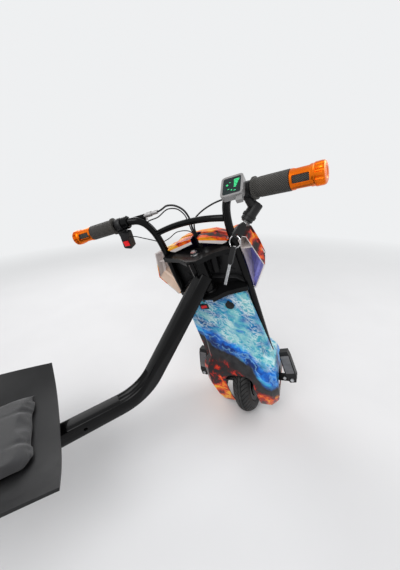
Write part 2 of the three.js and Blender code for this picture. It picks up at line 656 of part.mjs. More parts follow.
function crossbarShape() {
  const reach = column.waist;
  const low = crossbar.up;
  const curve = new THREE.QuadraticBezierCurve3(
    new THREE.Vector3(-reach, crossbar.forward, low),
    new THREE.Vector3(0, crossbar.forward, low + 2 * crossbar.crown),
    new THREE.Vector3(reach, crossbar.forward, low),
  );
  const crossbarSteps = 12;
  return cut(tube(curve, crossbar.radius, crossbarSteps), ...columnsGrown(fit));
}

// Fork plates: a triangle between the columns with its apex towards the rider and a folded lip
function forkPlate(topUp, withPost) {
  const low = topUp - plate.thick;
  const inner = column.halfGap;
  const edge = [
    [plateEdge.apexHalf, -plateEdge.apexBack],
    [plateEdge.hipOut, -plateEdge.hipBack],
    [inner, plate.end],
  ];
  const outline = mirrored([...edge, [inner, plate.front], [column.radius, plate.front]]);
  const flat = slab(outline, low, topUp);
  const lipOutline = [...edge, ...edge.map(([x, y]) => [x, y + plate.thick]).reverse()];
  const lips = [1, -1].map((side) => {
    const points = lipOutline.map(([x, y]) => [side * x, y]);
    return slab(side > 0 ? points : points.reverse(), low - plate.lip, topUp);
  });
  const shapes = [flat, ...lips];
  if (withPost) {
    const post = rod(stopPost.radius, -stopPost.length, plate.thick / 2, tubeSides).rotateY(rad(stopPost.lean));
    shapes.push(at(post, stopPost.x, stopPost.y, low));
  }
  const boltRoom = rod(stem.bolt + fit, low - plate.lip - cutOver, topUp + cutOver);
  return cut(join(...shapes), ...columnsGrown(fit), boltRoom);
}

function steeringBolt() {
  const nutTop = plate.lowUp - plate.thick - fit;
  const nutLow = nutTop - stem.nutTall;
  return join(
    rod(stem.bolt, nutLow, stem.top - stem.tip, tubeSides),
    rod(stem.hex, stem.top - stem.hexTall + fit, stem.top, hexSides),
    rod(stem.washer, plate.topUp + fit, stem.top - stem.hexTall + overlap),
    rod(stem.hex, nutLow, nutTop, hexSides),
  );
}

part(front, 'left_column', columnShape(-1), colours.frameBlack);
part(front, 'right_column', columnShape(1), colours.frameBlack);
part(front, 'crossbar', crossbarShape(), colours.frameBlack);
part(front, 'top_plate', forkPlate(plate.topUp, true), colours.plateBlack);
part(front, 'lower_plate', forkPlate(plate.lowUp, false), colours.plateBlack);
part(front, 'steering_bolt', steeringBolt(), colours.chrome);

// Shell: one outer skin as a loft of rings up the column, hollowed, opened and split into two halves.
// Each row: height, half width, face half width, rear depth and front depth, as shares of the shell's sizes.
const shellShares = [
  [-0.13, 0.83, 0.66, 0.86, 0.84],
  [-0.1, 0.87, 0.7, 0.93, 0.9],
  [0, 0.95, 0.78, 1, 0.97],
  [0.15, 1, 0.84, 0.98, 1],
  [0.27, 1, 0.84, 0.84, 0.97],
  [0.32, 0.99, 0.83, 0.72, 0.92],
  [0.36, 0.9, 0.76, 0.56, 0.86],
  [0.395, 0.753, 0.68, 0.44, 0.8],
  [0.52, 0.753, 0.68, 0.2, 0.72],
  [0.78, 0.753, 0.68, 0.03, 0.62],
  [0.98, 0.753, 0.68, 0.03, 0.6],
  [1, 0.72, 0.65, -0.04, 0.56],
];

function shellRing([heightShare, halfShare, faceShare, rearShare, frontShare], grow) {
  const half = halfShare * shell.lobeHalf - grow;
  const face = faceShare * shell.lobeHalf - grow;
  const rearY = -rearShare * shell.rearDepth + grow;
  const frontY = frontShare * shell.frontDepth - grow;
  const height = heightShare * shell.top;
  const bevel = half - face;
  const outline = [
    [-face, rearY],
    [face, rearY],
    [half, rearY + bevel],
    [half, frontY - bevel],
    [face, frontY],
    [-face, frontY],
    [-half, frontY - bevel],
    [-half, rearY + bevel],
  ];
  return outline.map(([x, y]) => new THREE.Vector3(x, y, height));
}

function shellBody() {
  const outer = loft(shellShares.map((row) => shellRing(row, 0)));
  const inside = shellShares.map((row) => shellRing(row, shell.wall));
  inside[0].forEach((p) => { p.z -= cutOver; });
  inside.slice(-2).flat().forEach((p) => { p.z -= shell.wall; });
  const lipSide = [
    [lip.inner, lip.low],
    [lip.outerLow, lip.low],
    [lip.outerTop, lip.top - shell.wall * 4],
    [lip.outerTop - shell.wall, lip.top],
    [lip.inner, lip.top],
  ];
  return cut(join(outer, ...bothSides(lipSide, lip.rear, lip.front)), loft(inside));
}

function archCut() {
  const outline = [[-arch.half, -shell.top], [arch.half, -shell.top]];
  const steps = 6;
  for (const [side, from] of [[1, 0], [-1, Math.PI / 2]]) {
    for (let i = 0; i <= steps; i += 1) {
      const angle = from + (i / steps) * (Math.PI / 2);
      outline.push([
        side * (arch.half - arch.corner) + arch.corner * Math.cos(angle),
        arch.top - arch.corner + arch.corner * Math.sin(angle),
      ]);
    }
  }
  return slabY(outline, -shell.rearDepth - cutOver, shell.frontDepth + cutOver);
}

function shellOpenings() {
  const columnHole = rod(column.radius + 3 * fit, -shell.top, shell.top + cutOver);
  const columns = [-1, 1].map((side) => at(columnHole, side * column.halfGap, column.forward, 0));
  const pegs = block(
    [-shell.lobeHalf - cutOver, pegSlot.rear, pegSlot.low],
    [shell.lobeHalf + cutOver, pegSlot.front, pegSlot.high],
  );
  const holeLow = shell.top - shell.wall * 3;
  const cableHole = at(rod(cableDown.hole, holeLow, shell.top + cutOver, tubeSides), 0, cableDown.y, 0);
  return [archCut(), ...columns, pegs, cableHole];
}

// What lies in front of the parting line, and what lies behind it
const rearRoom = () => join(
  block([-shell.top, shell.parting - fit / 2, arch.top], [shell.top, shell.top, shell.top + cutOver]),
  block([-shell.top, shell.lobeParting - fit / 2, -shell.top], [shell.top, shell.top, arch.top]),
);
const frontRoom = () => join(
  block([-shell.top, -shell.top, arch.top - fit], [shell.top, shell.parting + fit / 2, shell.top + cutOver]),
  block([-shell.top, -shell.top, -shell.top], [shell.top, shell.lobeParting + fit / 2, arch.top]),
);

const faceY = -shell.rearDepth * 0.03;
const capAcross = chargePort.radius * 0.62;

function rearCover() {
  const [halfWide, halfTall] = [powerSwitch.holeWide / 2, powerSwitch.holeTall / 2];
  const switchHole = block([-halfWide, -cutOver, -halfTall], [halfWide, shell.wall + cutOver, halfTall]);
  const body = cut(shellBody(), ...shellOpenings(), rearRoom(), at(switchHole, powerSwitch.x, faceY, powerSwitch.up));
  const socket = rodY(chargePort.radius, 0, chargePort.deep);
  const well = rodY(chargePort.hole, -cutOver, chargePort.deep - shell.wall);
  const [placedSocket, placedWell] = [socket, well].map((shape) => at(shape, chargePort.x, faceY, chargePort.up));
  return cut(join(body, placedSocket), placedWell);
}

part(front, 'rear_cover', rearCover(), colours.shellPrint);
part(front, 'front_cover', cut(shellBody(), ...shellOpenings(), frontRoom()), colours.shellPrint);
part(front, 'battery_pack', block(
  [-battery.width / 2, battery.centre - battery.depth / 2, battery.low],
  [battery.width / 2, battery.centre + battery.depth / 2, battery.high],
), colours.plasticBlack);
part(front, 'controller', block(
  [-controller.width / 2, controller.centre - controller.depth / 2, battery.low - fit - controller.tall],
  [controller.width / 2, controller.centre + controller.depth / 2, battery.low - fit],
), colours.silver);

// Power switch and charge cap on the rear face
function switchFrame() {
  const [w, t] = [powerSwitch.wide / 2, powerSwitch.tall / 2];
  const [hw, ht] = [powerSwitch.holeWide / 2 - fit, powerSwitch.holeTall / 2 - fit];
  const flange = block([-w, -powerSwitch.frame - fit, -t], [w, -fit, t]);
  const bodyBlock = block([-hw, -fit - overlap, -ht], [hw, powerSwitch.deep, ht]);
  const well = block(
    [-rocker.wide / 2 - fit * 2, -powerSwitch.frame - cutOver, -rocker.tall / 2 - fit],
    [rocker.wide / 2 + fit * 2, powerSwitch.deep - cutOver, rocker.tall / 2 + fit],
  );
  return at(cut(join(flange, bodyBlock), well), powerSwitch.x, faceY, powerSwitch.up);
}

function powerRocker() {
  const face = -powerSwitch.frame;
  const w = rocker.wide / 2;
  const outline = [
    [-w, face - rocker.proud],
    [0, face - rocker.proud * 0.2],
    [w, face + rocker.proud * 0.3],
    [w * 0.86, rocker.pivotIn],
    [0, rocker.pivotIn + rocker.half * 0.4],
    [-w * 0.86, rocker.pivotIn],
  ];
  return slab(outline, -rocker.tall / 2, rocker.tall / 2);
}

part(front, 'power_switch_frame', switchFrame(), colours.plasticBlack);
const powerPivot = pivot(front, [powerSwitch.x, faceY, powerSwitch.up]);
part(powerPivot, 'power_rocker', powerRocker(), colours.red);

const earLow = chargePort.radius - chargePort.ear;
const earHigh = chargePort.radius + chargePort.ear;
const capShape = join(
  rodY(chargePort.radius, -chargePort.thick - fit, -fit),
  rodY(chargePort.hole - fit, -overlap, chargePort.ear),
  rodY(capAcross, -chargePort.thick - chargePort.dome, -overlap),
  block([-chargePort.ear, -chargePort.thick, earLow], [chargePort.ear, -fit, earHigh]),
);
part(front, 'charge_cap', at(capShape, chargePort.x, faceY, chargePort.up), colours.rubber);

// Mask fairing: a faceted skin lofted from the nose back to its rear rim, hollowed from behind,
// with a notch at the top for the cables, room for the columns, pocket walls and grooved lobes.
// Outlines of each half as shares of half width and of the height from chin to top: at the rear rim, and
// at the widest section in front of the groove. The left wing sits lower, as in the photograph.
const rimShares = [
  [0, 1],
  [0.3, 0.975],
  [0.5, 0.885],
  [0.645, 0.93],
  [0.8, 0.88],
  [0.87, 0.65],
  [0.955, 0.39],
  [0.73, 0],
  [0.44, 0.22],
  [0, 0.27],
];
const leftRimShares = [
  [0, 1],
  [0.3, 0.975],
  [0.5, 0.885],
  [0.645, 0.92],
  [0.82, 0.87],
  [0.88, 0.7],
  [0.99, 0.4],
  [0.77, 0],
  [0.44, 0.22],
  [0, 0.27],
];
const flareShares = [
  [0, 1],
  [0.3, 0.985],
  [0.5, 0.9],
  [0.68, 0.955],
  [0.866, 0.94],
  [0.935, 0.7],
  [0.97, 0.49],
  [0.63, -0.14],
  [0.45, 0.2],
  [0, 0.27],
];
const leftFlareShares = [
  [0, 1],
  [0.3, 0.985],
  [0.5, 0.88],
  [0.68, 0.86],
  [0.84, 0.77],
  [0.9, 0.62],
  [0.97, 0.43],
  [0.64, -0.12],
  [0.45, 0.2],
  [0, 0.27],
];
const maskRows = [
  { y: mask.nose, scale: 0.42, lift: 0.1, flare: 1 },
  { y: mask.front, scale: 0.68, lift: 0.05, flare: 1 },
  { y: mask.shoulder, scale: 0.88, lift: 0.02, flare: 1 },
  { y: mask.grooveEnd, scale: 0.99, lift: 0, flare: 1 },
  { y: (mask.groove + mask.grooveEnd) / 2, scale: 0.95, lift: 0, flare: 0.9 },
  { y: mask.groove, scale: 0.99, lift: 0, flare: 0.8 },
  { y: mask.rear, scale: 1, lift: 0, flare: 0 },
];
const maskHeight = maskSize.top - maskSize.chin;
const maskMiddle = maskSize.chin + maskHeight / 2;

function maskOutline({ scale, lift, flare }) {
  const half = (side, rim, wide) => rim.map(([rimX, rimZ], i) => {
    const x = (rimX + (wide[i][0] - rimX) * flare) * maskSize.half;
    const z = maskSize.chin + (rimZ + (wide[i][1] - rimZ) * flare) * maskHeight;
    return [side * x * scale, maskMiddle + (z - maskMiddle) * scale + lift * maskHeight];
  });
  const right = half(1, rimShares, flareShares);
  const left = half(-1, leftRimShares, leftFlareShares);
  return [...right, ...left.slice(1, -1).reverse()].reverse();
}

function maskLoft(rows, shrink) {
  const rings = rows.map((row) => (
    inset(maskOutline(row), shrink).map(([x, z]) => new THREE.Vector3(x, row.y, z))
  ));
  return loft(rings, rings[0].map((p) => [p.x, p.z]));
}

// The hollow stops short of the two front rows and runs out through the rim
function maskHollow() {
  const rows = maskRows.map((row, i) => ({ ...row, y: row.y - (i < 2 ? mask.wall : 0) }));
  rows[rows.length - 1].y -= cutOver;
  return maskLoft(rows, mask.wall);
}

// On each side a pocket wall beside the column and a rib across the wing, cut to the mask's outside
function maskPockets(outer) {
  const wallX = column.halfGap + column.radius * 0.55;
  const ribUp = maskSize.chin + maskHeight * 0.67;
  return [-1, 1].map((side) => {
    const wall = between(side * wallX, side * (wallX + mask.wall), (low, high) => block(
      [low, mask.rear + mask.wall, maskSize.chin],
      [high, mask.front, maskSize.top],
    ));
    const rib = between(side * wallX, side * maskSize.half, (low, high) => block(
      [low, mask.rear + mask.wall * 4, ribUp],
      [high, mask.front, ribUp + mask.wall],
    ));
    return meet(join(wall, rib), outer);
  });
}

// The lobes' rear flange hangs under the top edge on either side of the notch
function lobeFlanges() {
  const drop = maskSize.flangeDrop;
  const reach = column.waist - column.radius * 1.6;
  const inner = maskSize.notch + overlap;
  return bothSides([
    [inner, maskSize.top - mask.wall],
    [inner, maskSize.top - drop],
    [reach * 0.84, maskSize.top - drop * 2],
    [reach, maskSize.top - drop * 1.7],
    [reach, maskSize.top - drop * 0.95],
  ], mask.rear + fit, mask.rear + mask.wall);
}

// What the mask leaves free: the cables' notch and gate, the panel, the lower plate and the tubes
function maskRoom() {
  const notchEnd = mask.rear + maskSize.notchDepth;
  const gateTop = (head.low + head.high) / 2;
  const crossbarLine = new THREE.LineCurve3(
    new THREE.Vector3(-column.waist, crossbar.forward, crossbar.up),
    new THREE.Vector3(column.waist, crossbar.forward, crossbar.up),
  );
  return [
    block([-maskSize.notch, mask.rear - cutOver, head.high], [maskSize.notch, notchEnd, maskSize.top + cutOver]),
    block([-maskSize.notch, panel.rear, maskSize.chin], [maskSize.notch, notchEnd, gateTop]),
    block(
      [-panel.half - fit, panel.rear - fit, panel.low - fit],
      [panel.half + fit, panel.rear + panel.thick + fit, panel.high + fit],
    ),
    block(
      [-column.halfGap - fit, mask.rear - cutOver, plate.lowUp - plate.thick - plate.lip],
      [column.halfGap + fit, plate.front + fit, plate.lowUp + fit],
    ),
    tube(crossbarLine, crossbar.radius + fit, 1),
    ...columnsGrown(3 * fit),
  ];
}

function maskShape() {
  const outer = maskLoft(maskRows, 0);
  const skin = cut(outer, maskHollow());
  return cut(join(skin, ...maskPockets(outer), ...lobeFlanges()), ...maskRoom());
}

part(front, 'mask_fairing', maskShape(), colours.maskPrint);

function panelShape() {
  const flat = block([-panel.half, panel.rear, panel.low], [panel.half, panel.rear + panel.thick, panel.high]);
  const screw = rodY(panel.screw, panel.rear - panel.screwTall, panel.rear + overlap, tubeSides);
  const screws = [-1, 1].flatMap((side) => [0.3, 0.72].map((part) => at(
    screw,
    side * (panel.half - column.radius * 4),
    0,
    panel.low + part * (panel.high - panel.low),
  )));
  return cut(join(flat, ...screws), ...columnsGrown(fit));
}
part(front, 'mask_panel', panelShape(), colours.plasticBlack);

// Wheel: dropouts on the columns, the axle, the hub motor and the tyre
function dropoutShape(side) {
  const wheelY = -wheel.behindAxis;
  const clear = axle.nut * 1.7;
  const outline = [
    [column.forward + column.radius * 0.8, column.foot],
    [column.forward + column.radius * 0.8, column.foot + clear * 5],
    [column.forward - column.radius * 1.2, column.foot + clear * 4.4],
    [wheelY - clear, clear * 2.6],
    [wheelY - clear, -clear * 0.4],
    [wheelY - clear * 0.4, -clear],
    [wheelY + clear * 0.5, -clear],
  ].reverse();
  const body = between(
    side * (dropout.outer - dropout.thick),
    side * dropout.outer,
    (low, high) => slabX(outline, low, high),
  );
  const hole = at(rodX(axle.radius + fit, -shell.top, shell.top, tubeSides), 0, wheelY, 0);
  return cut(body, hole);
}

function axleShape() {
  const nuts = [-1, 1].map((side) => between(
    side * (dropout.outer + fit),
    side * (dropout.outer + fit + axle.nutThick),
    (low, high) => rodX(axle.nut, low, high, hexSides),
  ));
  const spacers = [-1, 1].map((side) => between(
    side * (hub.half + fit),
    side * (dropout.outer - dropout.thick - fit),
    (low, high) => rodX(axle.radius * 1.5, low, high, tubeSides),
  ));
  return join(rodX(axle.radius, -axle.half, axle.half, tubeSides), ...nuts, ...spacers);
}

function tyreShape() {
  const half = wheel.width / 2;
  const crownAt = (angle) => [
    wheel.radius - tyreRound + tyreRound * Math.cos(angle),
    half * Math.sin(angle),
  ];
  const profile = [[wheel.rimRadius + fit, hub.flange], [wheel.rimRadius + fit, -hub.flange]];
  const steps = 10;
  const lastAngle = rad(88);
  for (let i = 0; i <= steps; i += 1) profile.push(crownAt(lastAngle * ((2 * i) / steps - 1)));
  return turnedShape(profile, 2 * roundSides).rotateY(Math.PI / 2);
}

function hubShape() {
  const rightSide = [
    [wheel.rimRadius, hub.flange],
    [wheel.rimRadius - hub.rim, hub.flange],
    [wheel.rimRadius - hub.dish, hub.flange + hub.bevel],
    [hub.boss + hub.bevel, hub.half - hub.step],
    [hub.boss, hub.half],
    [axle.radius + fit, hub.half],
  ];
  const leftSide = rightSide.map(([radius, x]) => [radius, -x]).reverse();
  return turnedShape([...leftSide, ...rightSide]).rotateY(Math.PI / 2);
}

part(front, 'left_dropout', dropoutShape(-1), colours.frameBlack);
part(front, 'right_dropout', dropoutShape(1), colours.frameBlack);
const wheelPivot = pivot(front, [0, -wheel.behindAxis, 0]);
part(wheelPivot, 'front_axle', axleShape(), colours.zinc);
part(wheelPivot, 'hub_motor', hubShape(), colours.frameBlack);
part(wheelPivot, 'front_tyre', tyreShape(), colours.rubber);

// Foot pegs: a canted arm through the shell, and a peg that stands folded up beside it
function pegBracket(side) {
  const [halfTall, halfThick] = [pegArm.tall / 2, pegArm.thick / 2];
  const toPivot = (x) => side * (x - peg.pivotX);
  const from = toPivot(dropout.outer + fit);
  const arm = between(from, 0, (low, high) => block([low, -halfThick, -halfTall], [high, halfThick, halfTall]));
  const eye = rodY(halfTall, -halfThick, halfThick);
  const fixHead = rodY(pegArm.boltHead, -halfThick - pegArm.boltHeadThick, 0, hexSides);
  const foot = between(from, toPivot(dropout.outer + fit + pegArm.foot), (low, high) => block(
    [low, -pegArm.tall * 0.7, -halfTall],
    [high, pegArm.tall * 0.35, halfTall],
  ));
  const hole = rodY(pegArm.bolt + fit, -pegArm.tall, pegArm.tall, tubeSides);
  return cut(join(arm, eye, at(fixHead, toPivot(pegArm.fixX), 0, 0), foot), hole);
}

function pegBody() {
  const earGap = pegArm.thick / 2 + fit;
  const half = peg.wide / 2;
  const eyeRoom = pegArm.tall / 2 + pegArm.boltHead;
  const rightSide = [
    [half * 0.6, -half * 0.65],
    [half, half * 0.6],
    [half * 0.94, peg.length * 0.8],
    [half * 0.76, peg.length],
  ];
  const outline = mirrored(rightSide);
  const body = slabY(outline, -peg.thick / 2, peg.thick / 2);
  const slot = block([-peg.wide, -earGap, -peg.wide], [peg.wide, earGap, eyeRoom]);
  const padBed = block(
    [-pegPad.wide / 2 - fit, -peg.thick, pegPad.low - fit],
    [pegPad.wide / 2 + fit, (pegPad.thick - peg.thick) / 2 + fit, pegPad.low + pegPad.length + fit],
  );
  const halfThick = peg.thick / 2;
  const pin = rodY(pegArm.bolt, -halfThick - overlap, halfThick + overlap, tubeSides);
  const boltHead = rodY(pegArm.boltHead, -halfThick - pegArm.boltHeadThick, -halfThick + overlap, hexSides);
  const window = block(
    [-half * 0.3, halfThick / 2, peg.length * 0.86],
    [half * 0.3, peg.thick, peg.length * 0.92],
  );
  return join(cut(body, slot, padBed, window), pin, boltHead);
}

function pegPadShape() {
  const rear = -(peg.thick + pegPad.thick) / 2;
  const half = pegPad.wide / 2;
  const base = block(
    [-half, rear + pegPad.thick * 0.3, pegPad.low],
    [half, rear + pegPad.thick, pegPad.low + pegPad.length],
  );
  const pitch = pegPad.length / pegPad.ribs;
  const ribs = Array.from({ length: pegPad.ribs }, (unused, i) => {
    const low = pegPad.low + (i + 0.2) * pitch;
    return block([-half, rear, low], [half, rear + pegPad.thick * 0.5, low + pitch * 0.6]);
  });
  return join(base, ...ribs);
}

for (const [side, word] of [[-1, 'left'], [1, 'right']]) {
  const mount = pivot(front, [side * peg.pivotX, peg.pivotY, peg.pivotUp], [-rad(peg.cant), 0, 0]);
  part(mount, `${word}_peg_bracket`, pegBracket(side), colours.plateBlack);
  const fold = pivot(mount, [0, 0, 0], [0, -side * rad(peg.lean), 0]);
  part(fold, `${word}_foot_peg`, pegBody(), colours.plasticBlack);
  part(fold, `${word}_peg_pad`, pegPadShape(), colours.grey);
}

// Grips, built outward along x in a frame at the inner end of each grip
const barBore = column.radius / Math.cos(Math.PI / tubeSides) + fit;
const alongBar = (shape, side) => (side > 0 ? shape.rotateY(Math.PI / 2) : shape.rotateY(-Math.PI / 2));

function gripRubber() {
  return turnedShape([
    [barBore, 0],
    [grip.flange, 0],
    [grip.flange, grip.flangeThick],
    [grip.rubber - grip.taper / 3, grip.flangeThick + grip.taper],
    [grip.rubber, grip.neckFrom / 2],
    [grip.rubber, grip.neckFrom],
    [grip.neck, grip.neckFrom],
    [grip.neck, sleeve.capFrom + sleeve.seat],
    [barBore, sleeve.capFrom + sleeve.seat],
  ]);
}

function gripSleeve() {
  const endInside = grip.length - sleeve.endWall;
  const body = turnedShape([
    [grip.neck + fit, sleeve.start],
    [sleeve.outer, sleeve.start],
    [sleeve.outer, sleeve.capFrom],
    [sleeve.cap, sleeve.capFrom + sleeve.step],
    [sleeve.cap, grip.length - sleeve.round],
    [sleeve.cap - sleeve.round * 0.25, grip.length - sleeve.round * 0.3],
    [sleeve.cap - sleeve.round * 0.8, grip.length],
    [0, grip.length],
    [0, endInside],
    [grip.neck + fit, endInside],
  ]);
  const windows = Array.from({ length: sleeveWindow.count }, (unused, i) => {
    const slot = block(
      [grip.neck - overlap, -sleeveWindow.half, sleeveWindow.from],
      [sleeve.cap, sleeveWindow.half, sleeveWindow.to],
    );
    return slot.rotateZ((i / sleeveWindow.count) * 2 * Math.PI);
  });
  const grooves = Array.from({ length: flutes.count }, (unused, i) => {
    const groove = rod(flutes.radius, sleeve.capFrom + sleeve.step * 2, grip.length + cutOver, flutes.sides);
    return groove.translate(sleeve.cap + flutes.radius * 0.35, 0, 0).rotateZ((i / flutes.count) * 2 * Math.PI);
  });
  return cut(body, ...windows, ...grooves);
}

const gripFrame = {};
for (const [side, word, name] of [[-1, 'left', 'left_grip'], [1, 'right', 'throttle_grip']]) {
  gripFrame[word] = pivot(front, gripRoot(side), gripTurn(side));
  part(gripFrame[word], name, alongBar(gripRubber(), side), colours.rubber);
  part(gripFrame[word], side < 0 ? 'left_sleeve' : 'throttle_sleeve', alongBar(gripSleeve(), side), colours.orange);
}

// Puts a shape given in the front frame into a grip's frame
function intoGrip(shape, side) {
  const holder = gripFrame[side < 0 ? 'left' : 'right'];
  holder.updateMatrix();
  return shape.clone().applyMatrix4(holder.matrix.clone().invert());
}

// Throttle housing with the arm of the key lock, the display and the lock barrel
const lockAxis = new THREE.Vector3(-0.6, -0.6, -0.51).normalize();
const lockTurn = new THREE.Quaternion()
  .setFromUnitVectors(new THREE.Vector3(0, 0, 1), lockAxis)
  .multiply(new THREE.Quaternion().setFromAxisAngle(new THREE.Vector3(0, 0, 1), rad(keyTurn)));
const lockPlace = new THREE.Vector3(lock.x, lock.y, lock.up);
const alongLock = (shape) => shape.applyQuaternion(lockTurn).translate(lock.x, lock.y, lock.up);
const lockBore = lock.barrel / Math.cos(Math.PI / tubeSides) + fit;
const clampBody = (from, to, side) => alongBar(turnedShape([
  [barBore, from],
  [clampRing.radius - clampRing.bevel, from],
  [clampRing.radius, from + clampRing.bevel],
  [clampRing.radius, to - clampRing.bevel],
  [clampRing.radius - clampRing.bevel, to],
  [barBore, to],
], tubeSides), side);

function throttleHousing() {
  const barrelBody = alongLock(join(
    rod(lock.radius, -lock.length, -lock.proud, tubeSides),
    rod(lock.radius + lock.collar, -lock.length * 0.4, -lock.length * 0.25, tubeSides),
  ));
  const top = new THREE.Vector3(
    bar.innerX + lockArm.out,
    bar.innerY - lockArm.back,
    bar.up - clampRing.radius + lockArm.back,
  );
  const low = lockPlace.clone().addScaledVector(lockAxis, -lock.length * 0.75);
  const arm = tube(new THREE.LineCurve3(low, top), lockArm.radius, 1);
  const grown = join(clampBody(clampRing.from, clampRing.to, 1), intoGrip(arm, 1), intoGrip(barrelBody, 1));
  const saddle = intoGrip(displayPlaced(block(
    [-display.wide * 0.24, -display.tall * 0.08, -display.thick * 1.6],
    [display.wide * 0.24, display.tall * 0.42, -display.thick / 2 - fit],
  )), 1);
  const barRoom = intoGrip(columnShape(1, fit), 1);
  const well = intoGrip(alongLock(rod(lockBore, -lock.length * 0.5, cutOver, tubeSides)), 1);
  return cut(join(grown, saddle), barRoom, well);
}

function displayPlaced(shape) {
  return shape.rotateX(rad(display.tilt)).translate(display.x, display.y, display.up);
}

// A box with rounded corners seen along z, centred on the origin
function bevelledBox(wide, tall, thick, corner) {
  const outline = [];
  const perCorner = 3;
  for (const [sx, sy] of [[1, 1], [-1, 1], [-1, -1], [1, -1]]) {
    const start = Math.atan2(sy, sx) - Math.PI / 4;
    for (let i = 0; i <= perCorner; i += 1) {
      const angle = start + (i / perCorner) * (Math.PI / 2);
      outline.push([
        sx * (wide / 2 - corner) + corner * Math.cos(angle),
        sy * (tall / 2 - corner) + corner * Math.sin(angle),
      ]);
    }
  }
  return slab(outline, -thick / 2, thick / 2);
}

function displayBody() {
  const pod = bevelledBox(display.wide, display.tall, display.thick, display.thick / 2);
  const recess = at(
    bevelledBox(display.screenWide + 2 * fit, display.screenTall + 2 * fit, display.thick, screen.thick * 2),
    0,
    0,
    display.thick - screen.sink - screen.thick,
  );
  const lug = block(
    [display.wide * 0.18, -display.tall * 0.72, -display.thick * 0.45],
    [display.wide * 0.46, -display.tall * 0.3, display.thick * 0.2],
  );
  return intoGrip(displayPlaced(cut(join(pod, lug), recess)), 1);
}

function displayLens() {
  const lens = bevelledBox(display.screenWide, display.screenTall, screen.thick, screen.thick * 2);
  const rise = display.thick / 2 - screen.sink - screen.thick / 2 + fit;
  return intoGrip(displayPlaced(at(lens, 0, 0, rise)), 1);
}

function lockBarrel() {
  const body = rod(lock.barrel, -lock.length * 0.45, 0, tubeSides);
  const [halfSlot, halfShank] = [lock.slot / 2 + fit, keyHead.shank / 2 + fit];
  const slot = block([-halfSlot, -halfShank, -lock.length * 0.3], [halfSlot, halfShank, cutOver]);
  return cut(body, slot);
}

part(gripFrame.right, 'throttle_housing', throttleHousing(), colours.plasticBlack);
part(gripFrame.right, 'display_body', displayBody(), colours.silver);
part(gripFrame.right, 'display_lens', displayLens(), colours.glass);
part(front, 'key_lock', alongLock(lockBarrel()), colours.chrome);

// Ignition key, split ring and spare key
function ignitionKey() {
  const halfShank = keyHead.shank / 2;
  const shank = block([-lock.slot / 2, -halfShank, -lock.length * 0.25], [lock.slot / 2, halfShank, keyHead.low]);
  const headOutline = mirrored([
    [halfShank, keyHead.neck],
    [keyHead.wide / 2, keyHead.low],
    [keyHead.wide / 2, keyHead.hole],
    [keyHead.wide / 3, keyHead.tall],
  ]);
  const headBody = slabX(headOutline, -keyHead.thick / 2, keyHead.thick / 2);
  const hole = at(rodX(keyHead.holeRadius, -keyHead.thick, keyHead.thick, tubeSides), 0, 0, keyHead.hole);
  return alongLock(cut(join(shank, headBody), hole));
}
part(front, 'ignition_key', ignitionKey(), colours.plasticBlack);

// The ring hangs from the key's hole, turned about its own hanging line as its looseness allows
const hang = new THREE.Vector3(...ring.hang).normalize();
const holeCentre = lockPlace.clone().addScaledVector(lockAxis, keyHead.hole);
const holeLine = new THREE.Vector3(1, 0, 0).applyQuaternion(lockTurn);
const ringAcross = holeLine.clone().addScaledVector(hang, -holeLine.dot(hang)).normalize();
ringAcross.applyAxisAngle(hang, rad(ring.yaw));
const ringUp = hang.clone().negate();
const hangTurn = new THREE.Matrix4().makeBasis(ringAcross, ringUp.clone().cross(ringAcross), ringUp);

function ringAndSpare() {
  const split = new THREE.TorusGeometry(ring.radius, ring.wire, hexSides, roundSides);
  const loop = at(split.rotateX(Math.PI / 2), 0, 0, -ring.radius);
  const headTop = spareKey.onRing - 2 * ring.radius;
  const headLow = headTop - spareKey.head;
  const handle = bevelledBox(spareKey.headWide, spareKey.head, spareKey.headThick, spareKey.headThick / 2);
  const blade = block(
    [-spareKey.bladeWide / 2, -spareKey.bladeThick / 2, headLow - spareKey.blade],
    [spareKey.bladeWide / 2, spareKey.bladeThick / 2, headLow + overlap],
  );
  const shape = join(loop, at(handle.rotateX(Math.PI / 2), 0, 0, (headTop + headLow) / 2), blade);
  return shape.applyMatrix4(hangTurn).translate(...holeCentre.toArray());
}
part(front, 'key_ring', ringAndSpare(), colours.steel);

// Left controls: the switch box under the bar, the brake perch and its lever
function switchBoxShape() {
  const box = bevelledBox(switchBox.wide, switchBox.tall, switchBox.deep, switchBox.deep / 5)
    .rotateX(Math.PI / 2)
    .rotateY(rad(switchBox.tilt));
  const ringX = -bar.gripInner - (switchBox.ringFrom + switchBox.ringTo) / 2;
  const neckTop = bar.up - clampRing.radius + switchBox.neck / 2;
  const neck = block(
    [ringX - switchBox.neck, switchBox.y - switchBox.neck, switchBox.up],
    [ringX + switchBox.neck, switchBox.y + switchBox.neck, neckTop],
  );
  const placedBox = join(at(box, switchBox.x, switchBox.y, switchBox.up), neck);
  const [halfWide, halfTall] = [button.wide / 2 + fit, button.tall / 2 + fit];
  const well = at(
    block([-halfWide, -cutOver, -halfTall], [halfWide, button.well, halfTall]),
    button.x,
    switchBox.y - switchBox.deep / 2,
    button.up,
  );
  const ringBody = clampBody(switchBox.ringFrom, switchBox.ringTo, -1);
  return cut(join(intoGrip(placedBox, -1), ringBody), intoGrip(well, -1), intoGrip(columnShape(-1, fit), -1));
}

// The red button has a shallow hollow across its face for the thumb
function switchButton() {
  const [halfWide, halfTall] = [button.wide / 2, button.tall / 2];
  const body = block([-halfWide, -button.proud, -halfTall], [halfWide, button.deep, halfTall]);
  const bend = button.tall * 1.5;
  const dish = at(rodX(bend, -button.wide, button.wide), 0, -button.proud - bend + button.dish, 0);
  return cut(body, dish);
}

const perchX = -perch.pivotU;
const tiltedLever = (shape) => shape.rotateX(-rad(lever.tilt));

